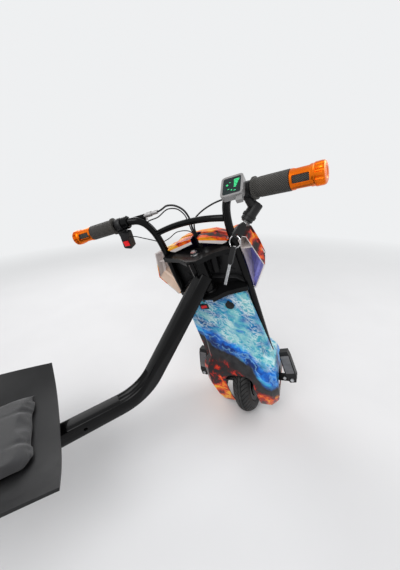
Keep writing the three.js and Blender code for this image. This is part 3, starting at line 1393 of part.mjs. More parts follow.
function perchShape() {
  const body = clampBody(perch.from, perch.to, -1);
  const outline = shares([
    [0.5, 0.32],
    [3.2, 0.556],
    [3.2, 0.89],
    [1, 1.22],
    [-0.5, 1.19],
    [-0.5, 0.32],
  ], perch.wide, perch.pivotY).map(([x, y]) => [perchX + x, y]);
  const arm = slab(outline, -perch.thick / 2, perch.thick / 2);
  const slotHalf = lever.thick / 2 + fit;
  const leverRoom = block(
    [perchX - perch.wide, perch.pivotY * 0.67, -slotHalf],
    [perchX + perch.wide * 0.95, perch.pivotY * 1.55, slotHalf],
  );
  const pinRoom = at(rod(lever.pin + fit, -perch.thick, perch.thick, tubeSides), perchX, perch.pivotY, 0);
  const end = adjuster.start + adjuster.length;
  const place = (shape) => at(shape, 0, adjuster.forward, adjuster.up);
  const barrel = place(rodX(adjuster.radius, adjuster.start, end, tubeSides));
  const knurl = place(rodX(
    adjuster.knurl,
    adjuster.start + adjuster.knurlFrom,
    adjuster.start + adjuster.knurlTo,
    tubeSides,
  ));
  const cableBore = place(rodX(cords[0].radius + fit, end - adjuster.bore, end + cutOver, tubeSides));
  const boltRoom = [leverRoom, pinRoom].map(tiltedLever);
  const barRoom = intoGrip(columnShape(-1, fit), -1);
  return cut(join(body, tiltedLever(arm), barrel, knurl), ...boltRoom, cableBore, barRoom);
}

// The blade's outline as shares of its length and of its root's width, from the pivot
const leverShares = [
  [0.06, 0.375],
  [0.06, -0.375],
  [-0.068, -0.44],
  [-0.203, 0.31],
  [-0.6, 0.56],
  [-0.92, 0.19],
  [-1, -0.06],
  [-1.042, 0.31],
  [-0.94, 0.81],
  [-0.6, 1.25],
  [-0.203, 1.31],
  [-0.05, 0.625],
];

function leverShape() {
  const outline = shares(leverShares, lever.length, lever.root).map(([x, y]) => [perchX + x, perch.pivotY + y]);
  const half = lever.thick / 2;
  const pinHalf = lever.thick + lever.pinOver;
  const blade = slab(outline, -half, half);
  const ball = at(
    rod(lever.tip * 0.64, -half - overlap, half + overlap, tubeSides),
    perchX - lever.length,
    perch.pivotY + lever.root * 0.25,
    0,
  );
  const pin = at(rod(lever.pin, -pinHalf, pinHalf, tubeSides), perchX, perch.pivotY, 0);
  return tiltedLever(join(blade, ball, pin));
}

part(gripFrame.left, 'switch_box', switchBoxShape(), colours.plasticBlack);
const switchPivot = pivot(front, [button.x, switchBox.y - switchBox.deep / 2, button.up]);
part(switchPivot, 'switch_button', switchButton(), colours.red);
part(gripFrame.left, 'brake_perch', perchShape(), colours.frameBlack);
part(gripFrame.left, 'brake_lever', leverShape(), colours.frameBlack);

// Cords, each whole along its real route and then down into the shell
for (const { name, radius, steps, beside, ahead, skip, route } of cords) {
  const down = bundle.slice(skip).map(([y, z]) => [beside, y + ahead, z]);
  part(front, name, tube(curveThrough([...route, ...down]), radius, steps, cordSides), colours.rubber);
}

// Stand the trike on its lowest point, centred over its own outline
trike.updateMatrixWorld(true);
const bounds = new THREE.Box3().setFromObject(trike, true);
const centre = bounds.getCenter(new THREE.Vector3());
trike.position.set(-centre.x, -centre.y, -bounds.min.z);
trike.updateMatrixWorld(true);

export default trike;
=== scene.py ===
# %% [markdown]
# # Electric drift tricycle, dressed
# The CAD model gives every solid its size and place. This lesson dresses it: each cell takes one
# piece or one finish, says what it is on the real machine, and makes it. All lengths are in metres,
# with +Y forward, +X to the rider's right and +Z up.

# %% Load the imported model
import json
from contextlib import contextmanager
from math import cos, hypot, pi, radians, sin, sqrt

import bmesh
import bpy
import numpy as np
from mathutils import Matrix, Vector
from mathutils.bvhtree import BVHTree

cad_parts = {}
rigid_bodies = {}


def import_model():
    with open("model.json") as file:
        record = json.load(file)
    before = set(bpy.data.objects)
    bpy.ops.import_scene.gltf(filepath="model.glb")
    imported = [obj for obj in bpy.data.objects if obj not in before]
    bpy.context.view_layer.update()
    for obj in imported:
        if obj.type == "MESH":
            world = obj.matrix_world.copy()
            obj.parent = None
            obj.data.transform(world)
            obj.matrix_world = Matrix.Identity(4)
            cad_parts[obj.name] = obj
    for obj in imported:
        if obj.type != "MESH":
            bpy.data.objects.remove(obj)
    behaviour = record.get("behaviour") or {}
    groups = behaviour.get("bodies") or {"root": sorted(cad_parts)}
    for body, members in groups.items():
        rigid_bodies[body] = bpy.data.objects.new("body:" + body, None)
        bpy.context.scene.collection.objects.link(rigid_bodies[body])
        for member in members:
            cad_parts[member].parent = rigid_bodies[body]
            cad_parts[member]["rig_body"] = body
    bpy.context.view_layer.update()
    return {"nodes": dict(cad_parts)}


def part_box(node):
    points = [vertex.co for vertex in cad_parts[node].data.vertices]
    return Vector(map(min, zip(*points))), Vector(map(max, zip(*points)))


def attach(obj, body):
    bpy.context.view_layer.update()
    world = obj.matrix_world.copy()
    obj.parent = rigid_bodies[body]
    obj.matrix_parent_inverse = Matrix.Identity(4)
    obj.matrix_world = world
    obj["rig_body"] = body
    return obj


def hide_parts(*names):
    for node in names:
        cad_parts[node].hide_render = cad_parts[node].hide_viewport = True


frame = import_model()
scene = bpy.context.scene
MM = 0.001


def in_scene(name, data):
    """A new object in the scene, round its data."""
    thing = bpy.data.objects.new(name, data)
    scene.collection.objects.link(thing)
    return thing


# %% [markdown]
# ## The camera
# The photograph was taken from above the rider's right, with a wide lens close to the machine. The
# camera is built from a yaw, a pitch and a roll, so each can be corrected alone. The sensor's 36 mm
# lie on the picture's long side, which is how Blender reads them when the fit is left on auto.

# %% Camera
CAMERA_PLACE = Vector((0.4981, -0.0297, 0.7426))
CAMERA_YAW, CAMERA_PITCH, CAMERA_ROLL = -1.0471, 0.3984, -0.0457
CAMERA_LENS, SENSOR_WIDE, NEAREST = 15.508, 36, 0.01
camera = in_scene("camera", bpy.data.cameras.new("camera"))
camera.matrix_world = (
    Matrix.Translation(CAMERA_PLACE)
    @ Matrix.Rotation(-CAMERA_YAW, 4, "Z")
    @ Matrix.Rotation(pi / 2 - CAMERA_PITCH, 4, "X")
    @ Matrix.Rotation(CAMERA_ROLL, 4, "Z")
)
camera.data.lens, camera.data.sensor_width, camera.data.clip_start = CAMERA_LENS, SENSOR_WIDE, NEAREST
bpy.context.scene.camera = camera
print("camera at", tuple(round(x, 3) for x in camera.location))

# %% [markdown]
# ## The frames that the pieces were drawn in
# The front end is raked and turned, so it was drawn in its own frame: x to the right, y forward of
# the steering axis, z up along it. Working in that frame keeps every profile below as simple as it is
# on the bench. The two grips have frames of their own, whose z runs along the bar.

# %% Front frame and grip frames
RAKE, TURNED = radians(21.6), radians(36.9)
STAND = Vector((-2.0921, 440.0282, 100.5867)) * MM
front_frame = (
    Matrix.Translation(STAND)
    @ Matrix.Rotation(RAKE, 4, "X")
    @ Matrix.Rotation(TURNED, 4, "Z")
    @ Matrix.Scale(MM, 4)
)
GRIP_INNER, BAR_INNER = 173.9, Vector((136, 2.5, 633.5))
GRIP_SWEEP, GRIP_RISE = radians(12.95), radians(1.7)


def grip_frame(side):
    """Where a turned profile's own z runs outward along a grip, from the grip's inner end."""
    reach = (GRIP_INNER - BAR_INNER.x) / cos(GRIP_SWEEP)
    root = Vector((
        side * GRIP_INNER,
        BAR_INNER.y - reach * sin(GRIP_SWEEP),
        BAR_INNER.z + reach * sin(GRIP_RISE),
    ))
    turn = Matrix.Rotation(-side * GRIP_RISE, 4, "Y") @ Matrix.Rotation(-side * GRIP_SWEEP, 4, "Z")
    return front_frame @ Matrix.Translation(root) @ turn @ Matrix.Rotation(side * pi / 2, 4, "Y")


def front_point(point):
    """A world point in the front frame, in millimetres."""
    return front_frame.inverted() @ Vector(point)


def front_way(way):
    """A world direction in the front frame, one unit long."""
    return (front_frame.to_3x3().inverted() @ way).normalized()


low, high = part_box("right_column")
print("right column's top in the front frame", [round(x, 1) for x in front_point(high)])

# %% [markdown]
# ## How a finish is made
# Every finish is a small node tree on a Principled shader. The helpers below keep each one short:
# each puts its nodes into the tree of the shader or output that it is given. Object coordinates stay
# on the piece when a joint moves it.

# %% Helpers for finishes
def feed(node, sockets):
    """Feeds each named or numbered socket of a node by a value or by an output."""
    for key, value in sockets.items():
        if isinstance(value, bpy.types.NodeSocket):
            node.id_data.links.new(value, node.inputs[key])
        else:
            node.inputs[key].default_value = value


def add(near, kind, sockets, **settings):
    """A node with its settings and sockets, in the tree of a socket or node near by."""
    node = near.id_data.nodes.new("ShaderNode" + kind)
    for key, value in settings.items():
        setattr(node, key, value)
    feed(node, sockets)
    return node


def own_place(near, matrix=None):
    """The point on the piece at rest, in metres, or in the millimetres of its own frame."""
    place = add(near, "TexCoord", {}).outputs["Object"]
    if matrix is None:
        return place
    where, turn, size = matrix.decompose()
    sockets = {"Vector": place, "Location": where, "Rotation": turn.to_euler("XYZ"), "Scale": size}
    return add(near, "Mapping", sockets, vector_type="TEXTURE").outputs[0]


def new_finish(name, sockets, matrix=None):
    """A material, its Principled shader with its sockets fed, and the place on the piece."""
    material = bpy.data.materials.new(name)
    material.use_nodes = True
    shader = material.node_tree.nodes["Principled BSDF"]
    feed(shader, sockets)
    return material, shader, own_place(shader, matrix)


def axes_of(place):
    """The x, y and z of a place."""
    return add(place, "SeparateXYZ", {0: place}).outputs


def noise(place, scale, detail=3):
    """Noise from 0 to 1 at so many grains to the unit of the place."""
    return add(place, "TexNoise", {"Vector": place, "Scale": scale, "Detail": detail}).outputs["Fac"]


def ramp(value, stops):
    """A colour for each value, eased between stops of (position, r, g, b)."""
    node = add(value, "ValToRGB", {"Fac": value})
    node.color_ramp.interpolation = "EASE"
    points = node.color_ramp.elements
    while len(points) < len(stops):
        points.new(0.5)
    for point, (position, *colour) in zip(points, stops):
        point.position, point.color = position, (*colour, 1)
    return node.outputs["Color"]


def maths(operation, a, b=0.0):
    return add(a, "Math", {0: a, 1: b}, operation=operation).outputs[0]


def plus(value, other, times):
    """A value and so many times another."""
    return maths("ADD", value, maths("MULTIPLY", other, times))


def shared(one, share, other):
    """Two values added by their shares, which make one."""
    return plus(maths("MULTIPLY", one, share), other, 1 - share)


def spread(value, low, high, to_low=0.0, to_high=1.0):
    """A value carried from one range to another, held at its ends."""
    return add(value, "MapRange", {"Value": value, 1: low, 2: high, 3: to_low, 4: to_high}).outputs[0]


def blended(share, under, over):
    """One colour over another by a share."""
    under, over = (c if isinstance(c, bpy.types.NodeSocket) else (*c, 1) for c in (under, over))
    return add(share, "Mix", {"Factor": share, 6: under, 7: over}, data_type="RGBA").outputs[2]


def shaded(shader, value, low, high, first, last, gloss=()):
    """Colours a surface over a range of a value, and sets its roughness over it if that is given."""
    feed(shader, {"Base Color": ramp(value, [(low, *first), (high, *last)])})
    if gloss:
        feed(shader, {"Roughness": spread(value, low, high, *gloss)})


def raise_surface(shader, height, depth, strength):
    """Bumps the surface by a height, so many metres deep."""
    sockets = {"Height": height, "Distance": depth, "Strength": strength}
    feed(shader, {"Normal": add(shader, "Bump", sockets).outputs[0]})


# %% [markdown]
# ## Floor, background and light
# A pale studio: a floor that keeps the machine's shadow, a pale background that also shows in the
# chrome, and three broad soft lamps. Only camera, glossy and transmitted rays meet the background's
# full brightness, so that it doesn't light the dull surfaces.

# %% Studio
FLOOR_COLOUR = (0.72, 0.72, 0.73)
BACKGROUND, WHITE = (0.86, 0.87, 0.88, 1), (1, 1, 1, 1)
SKY_STRENGTH, LIT_POINT = 0.5, Vector((0, 0.2, 0.4))

scene.view_settings.view_transform = "Standard"
scene.world = bpy.data.worlds.new("studio")
scene.world.use_nodes = True
sky = scene.world.node_tree
sky.nodes.clear()
rays = add(sky, "LightPath", {}).outputs
clear_view = maths("MAXIMUM", rays["Is Camera Ray"], rays["Is Glossy Ray"])
clear_view = maths("MAXIMUM", clear_view, rays["Is Transmission Ray"])
soft_sky = add(sky, "Background", {0: WHITE, 1: SKY_STRENGTH}).outputs[0]
shown_sky = add(sky, "Background", {0: BACKGROUND, 1: 1}).outputs[0]
add(sky, "OutputWorld", {0: add(sky, "MixShader", {0: clear_view, 1: soft_sky, 2: shown_sky}).outputs[0]})
for name, place, size, watts in (
    ("key_lamp", (0.9, -1.1, 2.2), 1.5, 34),
    ("fill_lamp", (-1.9, 0.1, 1.5), 1.6, 17),
    ("rim_lamp", (0.5, 2.2, 1.7), 1.2, 20),
):
    lamp = in_scene(name, bpy.data.lights.new(name, "AREA"))
    lamp.data.size, lamp.data.energy = size, watts
    lamp.location = place
    lamp.rotation_euler = (LIT_POINT - Vector(place)).to_track_quat("-Z", "Y").to_euler()

# %% [markdown]
# ## Painted steel
# The beam, the columns and the rear frame are powder-coated in gloss black. Powder coat is never
# quite flat: it has a faint orange peel and a thin clear skin, and dust dulls it in patches. A second,
# satin black is for the pressed plates.

# %% Black paints
DUST_SCALE, DUST_LIFT, PEEL_SCALE, PEEL_DEEP = 22, 1.9, 620, 0.12 * MM


def black_paint(name, shade, gloss, patchy, coat):
    """Powder coat, with dust that lifts its black and dulls it in patches."""
    sockets = {"Coat Weight": coat, "Coat Roughness": 0.05, "Specular IOR Level": 0.09}
    material, shader, place = new_finish(name, sockets)
    dust = noise(place, DUST_SCALE, 5)
    shaded(shader, dust, 0.3, 0.75, shade, [c * DUST_LIFT for c in shade], (gloss, gloss + patchy))
    raise_surface(shader, noise(place, PEEL_SCALE, 2), PEEL_DEEP, 0.5)
    return material


frame_black = black_paint("frame_black_paint", (0.0017, 0.0017, 0.0019), 0.16, 0.09, 0.12)
plate_black = black_paint("plate_black_paint", (0.003, 0.003, 0.0032), 0.27, 0.12, 0.1)
print("paints", frame_black.name, plate_black.name)

# %% [markdown]
# ## Plated metal
# The steering bolt, the key and the split ring are bright chrome, the axle, the caster forks and the
# other bolts dull zinc. Zinc crystals show as small patches, and both carry hair scratches.

# %% Metals
HAIR_SCALE, HAIR_DEEP, HAIR_DULLS = 900, 0.04 * MM, 1.8


def plated(name, bright, dull, gloss, crystals):
    """Metal in crystal patches, so many to the metre, under hair scratches that dull it."""
    material, shader, place = new_finish(name, {"Metallic": 1})
    patches = add(shader, "TexVoronoi", {"Vector": place, "Scale": crystals}, feature="F1").outputs["Color"]
    grain = noise(place, HAIR_SCALE)
    shade = shared(add(shader, "SeparateColor", {0: patches}).outputs[0], 0.5, grain)
    shaded(shader, shade, 0.15, 0.8, dull, bright)
    feed(shader, {"Roughness": spread(grain, 0.25, 0.75, gloss, gloss * HAIR_DULLS)})
    raise_surface(shader, grain, HAIR_DEEP, 0.4)
    return material


chrome = plated("chrome_plate", (0.66, 0.66, 0.66), (0.52, 0.52, 0.53), 0.12, 120)
zinc = plated("zinc_plate", (0.62, 0.63, 0.64), (0.42, 0.43, 0.45), 0.27, 420)
silver = plated("silver_casting", (0.4, 0.39, 0.39), (0.33, 0.325, 0.325), 0.34, 240)
print("metals", chrome.name, zinc.name, silver.name)

# %% [markdown]
# ## Moulded plastic and rubber
# Injection-moulded black plastic has a spark-eroded grain, and rubber is duller and holds grey dust.
# One recipe serves them all, with its own grain and gloss. The orange sleeves use the metals' recipe.

# %% Moulded finishes
SMUDGE_SCALE, SMUDGE_DULLS = 35, 0.14


def moulded(name, shade, gloss, grain, depth, dusty=1.6, shine=0.3):
    """A skin with its grain's size and depth in millimetres, its shade lifted so many times by dust."""
    material, shader, place = new_finish(name, {"Specular IOR Level": shine})
    dust = noise(place, SMUDGE_SCALE, 4)
    shaded(shader, dust, 0.3, 0.8, shade, [c * dusty for c in shade], (gloss, min(gloss + SMUDGE_DULLS, 1)))
    raise_surface(shader, noise(place, 1 / (grain * MM)), depth * MM, 0.7)
    return material


black_plastic = moulded("black_moulding", (0.006, 0.006, 0.0065), 0.42, 0.9, 0.12)
smooth_rubber = moulded("black_rubber", (0.009, 0.009, 0.0095), 0.62, 0.7, 0.1)
grey_rubber = moulded("grey_rubber", (0.13, 0.13, 0.135), 0.75, 1.2, 0.2)
caster_rubber = moulded("caster_polyurethane", (0.02, 0.021, 0.023), 0.38, 4, 0.1)
cable_skin = moulded("cable_skin", (0.01, 0.01, 0.011), 0.45, 0.5, 0.05)
red_plastic = moulded("red_button_plastic", (0.8, 0.012, 0.018), 0.3, 1, 0.05, dusty=1.2)
silver_moulding = moulded("silver_moulding", (0.22, 0.215, 0.215), 0.2, 2, 0.03, dusty=1.1, shine=0.7)
orange_shell = plated("orange_anodised_sleeve", (0.84, 0.17, 0.008), (0.72, 0.12, 0.005), 0.2, 14)
print("moulded finishes", black_plastic.name, smooth_rubber.name, grey_rubber.name)

# %% [markdown]
# ## Making a piece from its solid
# The solids have the right shape, but a real edge is never sharp: it catches the light on a radius of
# half a millimetre or so. The copy is welded, its triangles are joined into whole faces, round parts
# are subdivided between their sharp edges, and a bevel rounds those. It rides on the solid's body.

# %% Pieces from solids
pieces = {}
WELD, FLAT_ANGLE, EDGE_STEPS = 0.000002, radians(0.6), 2


def joined_copy(node):
    """A mesh of the node's own shape with its triangles joined into whole faces."""
    mesh = bpy.data.meshes.new(node + "_skin")
    build = bmesh.new()
    build.from_mesh(frame["nodes"][node].data)
    for layer in list(build.loops.layers.uv):
        build.loops.layers.uv.remove(layer)
    bmesh.ops.remove_doubles(build, verts=build.verts, dist=WELD)
    bmesh.ops.dissolve_limit(build, angle_limit=FLAT_ANGLE, verts=build.verts, edges=build.edges)
    build.to_mesh(mesh)
    build.free()
    if "custom_normal" in mesh.attributes:
        mesh.attributes.remove(mesh.attributes["custom_normal"])
    return mesh


def finish_piece(piece, node, material):
    """Gives a piece its material, hides the solid it stands for and lets it ride on its body."""
    if material is not None:
        piece.data.materials.clear()
        piece.data.materials.append(material)
    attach(piece, frame["nodes"][node]["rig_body"])
    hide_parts(node)
    pieces[node] = piece
    return piece


@contextmanager
def edited(mesh):
    """Opens a mesh for editing, and writes it back when the block ends."""
    build = bmesh.new()
    build.from_mesh(mesh)
    yield build
    build.to_mesh(mesh)
    build.free()


def crease_sharp_edges(mesh, sharp):
    """Holds the edges that turn by more than the angle, so that subdivision rounds only the others."""
    with edited(mesh) as build:
        layers = build.edges.layers.float
        crease = layers.get("crease_edge") or layers.new("crease_edge")
        for edge in build.edges:
            if len(edge.link_faces) != 2 or edge.calc_face_angle(pi) > radians(sharp):
                edge[crease] = 1


def soften(piece, edge, sharp):
    """Smooth shading between sharp edges, and a bevel of some millimetres along them."""
    piece.data.polygons.foreach_set("use_smooth", [True] * len(piece.data.polygons))
    piece.data.set_sharp_from_angle(angle=radians(sharp))
    if edge:
        bevel = piece.modifiers.new("rounded_edges", "BEVEL")
        bevel.width, bevel.segments, bevel.limit_method = edge * MM, EDGE_STEPS, "ANGLE"
        bevel.angle_limit = radians(sharp)
        bevel.use_clamp_overlap = bevel.harden_normals = True


def from_solid(node, material, edge, sharp, rounds=0):
    """The node's own shape with rounded edges, and smoothed between them where it is round."""
    mesh = joined_copy(node)
    piece = in_scene(node + "_piece", mesh)
    if rounds:
        crease_sharp_edges(mesh, sharp)
        smooth = piece.modifiers.new("round_surface", "SUBSURF")
        smooth.levels = smooth.render_levels = rounds
        smooth.boundary_smooth = "PRESERVE_CORNERS"
    soften(piece, edge, sharp)
    return finish_piece(piece, node, material)


def from_solids(finish, slot, *rows):
    """Pieces of one finish, from rows of edge in millimetres, sharp angle, rounding steps and solids."""
    for edge, sharp, rounds, names in rows:
        for name in names.split():
            from_solid(name, finish, edge, sharp, rounds)


# %% [markdown]
# ## Frame, plates and fasteners
# Welded tube and pressed plate keep the solids' own form. The square tubes have rolled corners and
# the round ones are drawn tube, so the round ones are subdivided and the pressed ones only bevelled.

# %% Steel parts
from_solids(
    frame_black, "frame_black",
    (0.4, 50, 0, "main_beam"), (0.6, 40, 0, "head_tube"), (0.8, 50, 0, "rear_tube"),
    (1, 50, 0, "rear_crossbar"), (0.4, 50, 2, "left_column right_column crossbar"),
    (1.2, 40, 0, "left_dropout right_dropout"), (0.9, 50, 1, "hub_motor"), (1.4, 40, 1, "brake_lever"),
)
from_solids(
    plate_black, "plate_black",
    (1, 40, 0, "seat_bracket"), (0.9, 40, 0, "top_plate lower_plate left_peg_bracket right_peg_bracket"),
    (0.5, 40, 1, "upper_bearing lower_bearing"),
)
from_solids(
    zinc, "zinc",
    (0.6, 40, 0, "length_bolt front_axle"), (0.8, 40, 0, "caster_fork_left caster_fork_right"),
)
from_solids(chrome, "chrome", (0.6, 40, 1, "steering_bolt"))
print("steel pieces", len(pieces))

# %% [markdown]
# ## Moulded parts
# Covers, housings and pads come out of steel moulds with rounded edges. Their radii are larger than
# those of cut metal, and the finish is what tells one from another.

# %% Moulded pieces
from_solids(
    black_plastic, "black_plastic",
    (1.2, 50, 1, "seat_shell"), (0.5, 40, 0, "power_switch_frame"), (1.6, 50, 0, "switch_box"),
    (0.8, 40, 0, "mask_panel throttle_housing"), (1.6, 40, 0, "left_foot_peg right_foot_peg"),
)
from_solids(caster_rubber, "caster_wheel", (1.2, 50, 1, "caster_wheel_left caster_wheel_right"))
from_solids(grey_rubber, "grey_rubber", (0.7, 40, 0, "left_peg_pad right_peg_pad"))
from_solids(smooth_rubber, "black_rubber", (0.6, 50, 1, "charge_cap"))
from_solids(silver_moulding, "silver_plastic", (1.2, 40, 0, "display_body"))
from_solids(red_plastic, "red_plastic", (0.8, 40, 0, "power_rocker"), (1, 40, 0, "switch_button"))
print("pieces so far", len(pieces))

# %% [markdown]
# ## The panel's lower edge
# The dark panel in the mask hangs a little in front of the lower plate's edge, so that no light comes
# through between the two. Its lower corners are drawn down on the piece's own mesh.

# %% Panel edge
PANEL_LOW, PANEL_HANGS = 409, 10
moved = 0
for vertex in pieces["mask_panel"].data.vertices:
    spot = front_point(vertex.co)
    if spot.z < PANEL_LOW:
        vertex.co = front_frame @ (spot - Vector((0, 0, PANEL_HANGS)))
        moved += 1
print("panel corners drawn down", moved)

# %% [markdown]
# ## A finish for part of a piece
# Some solids hold two materials, such as a key with its plastic head and steel blade. A rule sorts a
# piece's faces by where their middles lie, and gives each group its own finish.

# %% Sorting faces
def sort_faces(piece, pick):
    """Gives each face of a piece the finish that pick chooses from its middle and its normal."""
    finishes = piece.data.materials
    for face in piece.data.polygons:
        finish = pick(face.center, face.normal)
        if finish.name not in finishes:
            finishes.append(finish)
        face.material_index = finishes.find(finish.name)


def along(origin, axis):
    """How far a world point lies along an axis of the front frame, from an origin there."""
    start, way = Vector(origin), Vector(axis).normalized()
    return lambda point: (front_point(point) - start).dot(way)


ADJUSTER_START = -65
LOCK_PLACE, LOCK_AXIS = (147, -24, 583), (-0.6, -0.6, -0.51)
KEY_NECK, KEY_HOLE, HANG = 3, 31, (-0.401, -0.357, -0.843)
RING_RADIUS, SPARE_HEAD = 12.4, 38
to_left_grip = grip_frame(-1).inverted()
perch = from_solid("brake_perch", frame_black, 0.6, 40)
sort_faces(perch, lambda p, n: silver if (to_left_grip @ p).z < ADJUSTER_START else frame_black)
key = from_solid("ignition_key", black_plastic, 0.7, 40)
up_the_key = along(LOCK_PLACE, LOCK_AXIS)
sort_faces(key, lambda p, n: chrome if up_the_key(p) < KEY_NECK else black_plastic)
hole = Vector(LOCK_PLACE) + Vector(LOCK_AXIS).normalized() * KEY_HOLE
down_the_ring = along(hole, HANG)
spare_from, blade_from = RING_RADIUS * 1.75, RING_RADIUS * 1.9 + SPARE_HEAD


def ring_finish(point, normal):
    """The chrome ring at the top, then the spare key's plastic head, then its blade."""
    depth = down_the_ring(point)
    if depth < spare_from:
        return chrome
    return black_plastic if depth < blade_from else zinc


key_ring = from_solid("key_ring", chrome, 0.3, 62)
sort_faces(key_ring, ring_finish)
print("sorted pieces", perch.name, key.name, key_ring.name)

# %% [markdown]
# ## Lock and peg bolts
# The lock is a black barrel whose end disc is bare metal. Each peg turns on a bolt, and a second bolt
# holds its arm: their heads are bright, while peg and arm are black.

# %% Lock and bolts
LOCK_RIM, PEG_PIVOT, PEG_CANT, BOLT_REACH = 0.6, (152, -8, 36), radians(20), 6.5
PEG_BACK, ARM_BACK, SECOND_BOLT = 11.3, 4.3, 23
lock = from_solid("key_lock", black_plastic, 0.5, 40)
sort_faces(lock, lambda p, n: silver if up_the_key(p) > -LOCK_RIM else black_plastic)


def bolt_finish(to_peg, middle, back, rest):
    """Zinc on the faces that stand proud of a peg's or an arm's back, close to a bolt's middle."""
    def pick(point, normal):
        spot = to_peg @ Vector(point)
        proud = spot.y < -back and hypot(spot.x - middle, spot.z) < BOLT_REACH
        return zinc if proud else rest
    return pick


for side, word in ((-1, "left"), (1, "right")):
    pivot = Vector((side * PEG_PIVOT[0], PEG_PIVOT[1], PEG_PIVOT[2]))
    to_peg = (front_frame @ Matrix.Translation(pivot) @ Matrix.Rotation(-PEG_CANT, 4, "X")).inverted()
    for node, middle, back, rest in (
        (word + "_foot_peg", 0, PEG_BACK, black_plastic),
        (word + "_peg_bracket", -side * SECOND_BOLT, ARM_BACK, plate_black),
    ):
        sort_faces(pieces[node], bolt_finish(to_peg, middle, back, rest))
        print(node, "bright faces", sum(f.material_index > 0 for f in pieces[node].data.polygons))

# %% [markdown]
# ## The printed shell
# The shell's halves are moulded white and carry a glossy printed film: cold marbling above, a dark
# band across, and embers below. Nothing of it is copied. Warped noise gives marbled veins, a slanted
# height decides how cold or hot they are, and colour ramps carry them through like colours.

# %% Printed film
PRINT_SLANT, PRINT_WAVES, RIGHT_RISE = 0.68, 85, 30
EMBER_BAND, BLUE_BAND, COLD_BAND = (128.7, 97.5), (156, 175.5), (202.8, 226.2)
FLOW_TURN, FLOW_LONG, WARP_GRAIN = radians(-45), 0.36, 0.6
FILM_GRAIN, FILM_DEEP = 0.5, 0.06 * MM
ICE = [
    (0.33, 0.003, 0.05, 0.17), (0.41, 0.004, 0.15, 0.42), (0.46, 0.008, 0.26, 0.5), (0.52, 0.05, 0.4, 0.53),
    (0.58, 0.22, 0.58, 0.62), (0.64, 0.04, 0.38, 0.54), (0.72, 0.004, 0.14, 0.6),
]
DEEP_BLUE = [
    (0.36, 0.004, 0.03, 0.18), (0.46, 0.004, 0.1, 0.5), (0.55, 0.01, 0.21, 0.76), (0.64, 0.06, 0.46, 0.82),
]
CHARCOAL = [(0.3, 0.012, 0.012, 0.014), (0.7, 0.035, 0.034, 0.036)]
EMBER = [
    (0.38, 0.02, 0.016, 0.017), (0.47, 0.06, 0.012, 0.012), (0.54, 0.42, 0.016, 0.01),
    (0.63, 0.82, 0.09, 0.008), (0.74, 0.98, 0.5, 0.03),
]
FROST, PALE_BLUE = (0.8, 0.9, 0.9), (0.3, 0.66, 0.92)


def veins(place, grain, warp, stretch=(1, 1, 1)):
    """Marbled veins: noise that is read at a place which other noise has pushed about."""
    push = add(place, "TexNoise", {"Vector": place, "Scale": grain * WARP_GRAIN, "Detail": 3})
    drawn = push.outputs["Color"]
    steps = ("SUBTRACT", (0.5,) * 3), ("MULTIPLY", (warp,) * 3), ("ADD", place), ("MULTIPLY", stretch)
    for operation, by in steps:
        drawn = add(place, "VectorMath", {0: drawn, 1: by}, operation=operation).outputs[0]
    return noise(drawn, grain, 7)


def threads(place, grain, warp, thin, stretch=(1, 1, 1)):
    """Fine pale strands: the crests of warped noise, thinned to lines."""
    crest = maths("PINGPONG", veins(place, grain, warp, stretch), 0.5)
    return spread(crest, 0.5 - thin, 0.5)


def film(name, gloss, shine, paint):
    """A film with colours that are painted in the front frame, and a faint ripple."""
    sockets = {"Roughness": gloss, "Specular IOR Level": shine}
    material, shader, place = new_finish(name, sockets, front_frame)
    across, _, up = axes_of(place)
    feed(shader, {"Base Color": paint(place, across, up)})
    raise_surface(shader, noise(place, FILM_GRAIN, 2), FILM_DEEP, 0.35)
    return material


def shell_colours(place, across, up):
    """Ice over deep blue over charcoal and embers, parted by a height that slants and waves."""
    slanted = plus(up, across, PRINT_SLANT)
    waved = plus(slanted, maths("SUBTRACT", noise(place, 0.011), 0.5), PRINT_WAVES)
    waved = maths("ADD", waved, spread(across, 48, 70, 0, RIGHT_RISE))
    turned_place = {"Vector": place, "Rotation": (0, FLOW_TURN, 0)}
    flow = add(place, "Mapping", turned_place, vector_type="POINT").outputs[0]
    ice = ramp(veins(flow, 0.02, 55, (FLOW_LONG * 1.4, 1, 1)), ICE)
    broad = threads(flow, 0.034, 60, 0.045, (FLOW_LONG, 1, 1.2))
    fine = threads(flow, 0.075, 34, 0.07, (FLOW_LONG, 1, 1))
    where = spread(noise(place, 0.016), 0.42, 0.6, 0.12, 0.85)
    frost = blended(maths("MULTIPLY", maths("MAXIMUM", broad, fine), where), ice, FROST)
    deep = ramp(veins(flow, 0.034, 45, (FLOW_LONG * 1.4, 1, 1)), DEEP_BLUE)
    blue = blended(maths("MULTIPLY", broad, 0.45), deep, PALE_BLUE)
    charcoal = ramp(noise(place, 0.05, 5), CHARCOAL)
    left_heat = spread(across, 70, -110, -0.055, 0.05)
    low_heat = spread(up, 125, 5, -0.1, 0.13)
    heat = maths("ADD", veins(place, 0.046, 40, (1, 1, 0.8)), maths("ADD", left_heat, low_heat))
    colour = blended(spread(waved, *EMBER_BAND), charcoal, ramp(heat, EMBER))
    colour = blended(spread(waved, *BLUE_BAND), colour, blue)
    return blended(spread(waved, *COLD_BAND), colour, frost)


shell_print = film("printed_shell_film", 0.36, 0.25, shell_colours)
print("film", shell_print.name)

# %% [markdown]
# ## Inside and outside of the shell
# The film covers only the outer skin. The wall behind it, moulded white, is given near-black plastic
# as painted shade. A face belongs to the inside when it looks toward the shell's middle.

# %% Shell halves
SHELL_CORE, INWARD = Vector((0, 20, 200)), -0.35
# Near-black for inner faces, the port's recess and the mask's middle below the lobes: painted shade.
painted_shade_plastic = moulded("shell_inside_painted_shade", (0.02, 0.02, 0.021), 0.5, 1, 0.1)


def outward(point, normal):
    """How much a face looks away from the shell's middle, level in the front frame."""
    away = front_point(point) - SHELL_CORE
    away.z = 0
    return front_way(normal).dot(away.normalized())


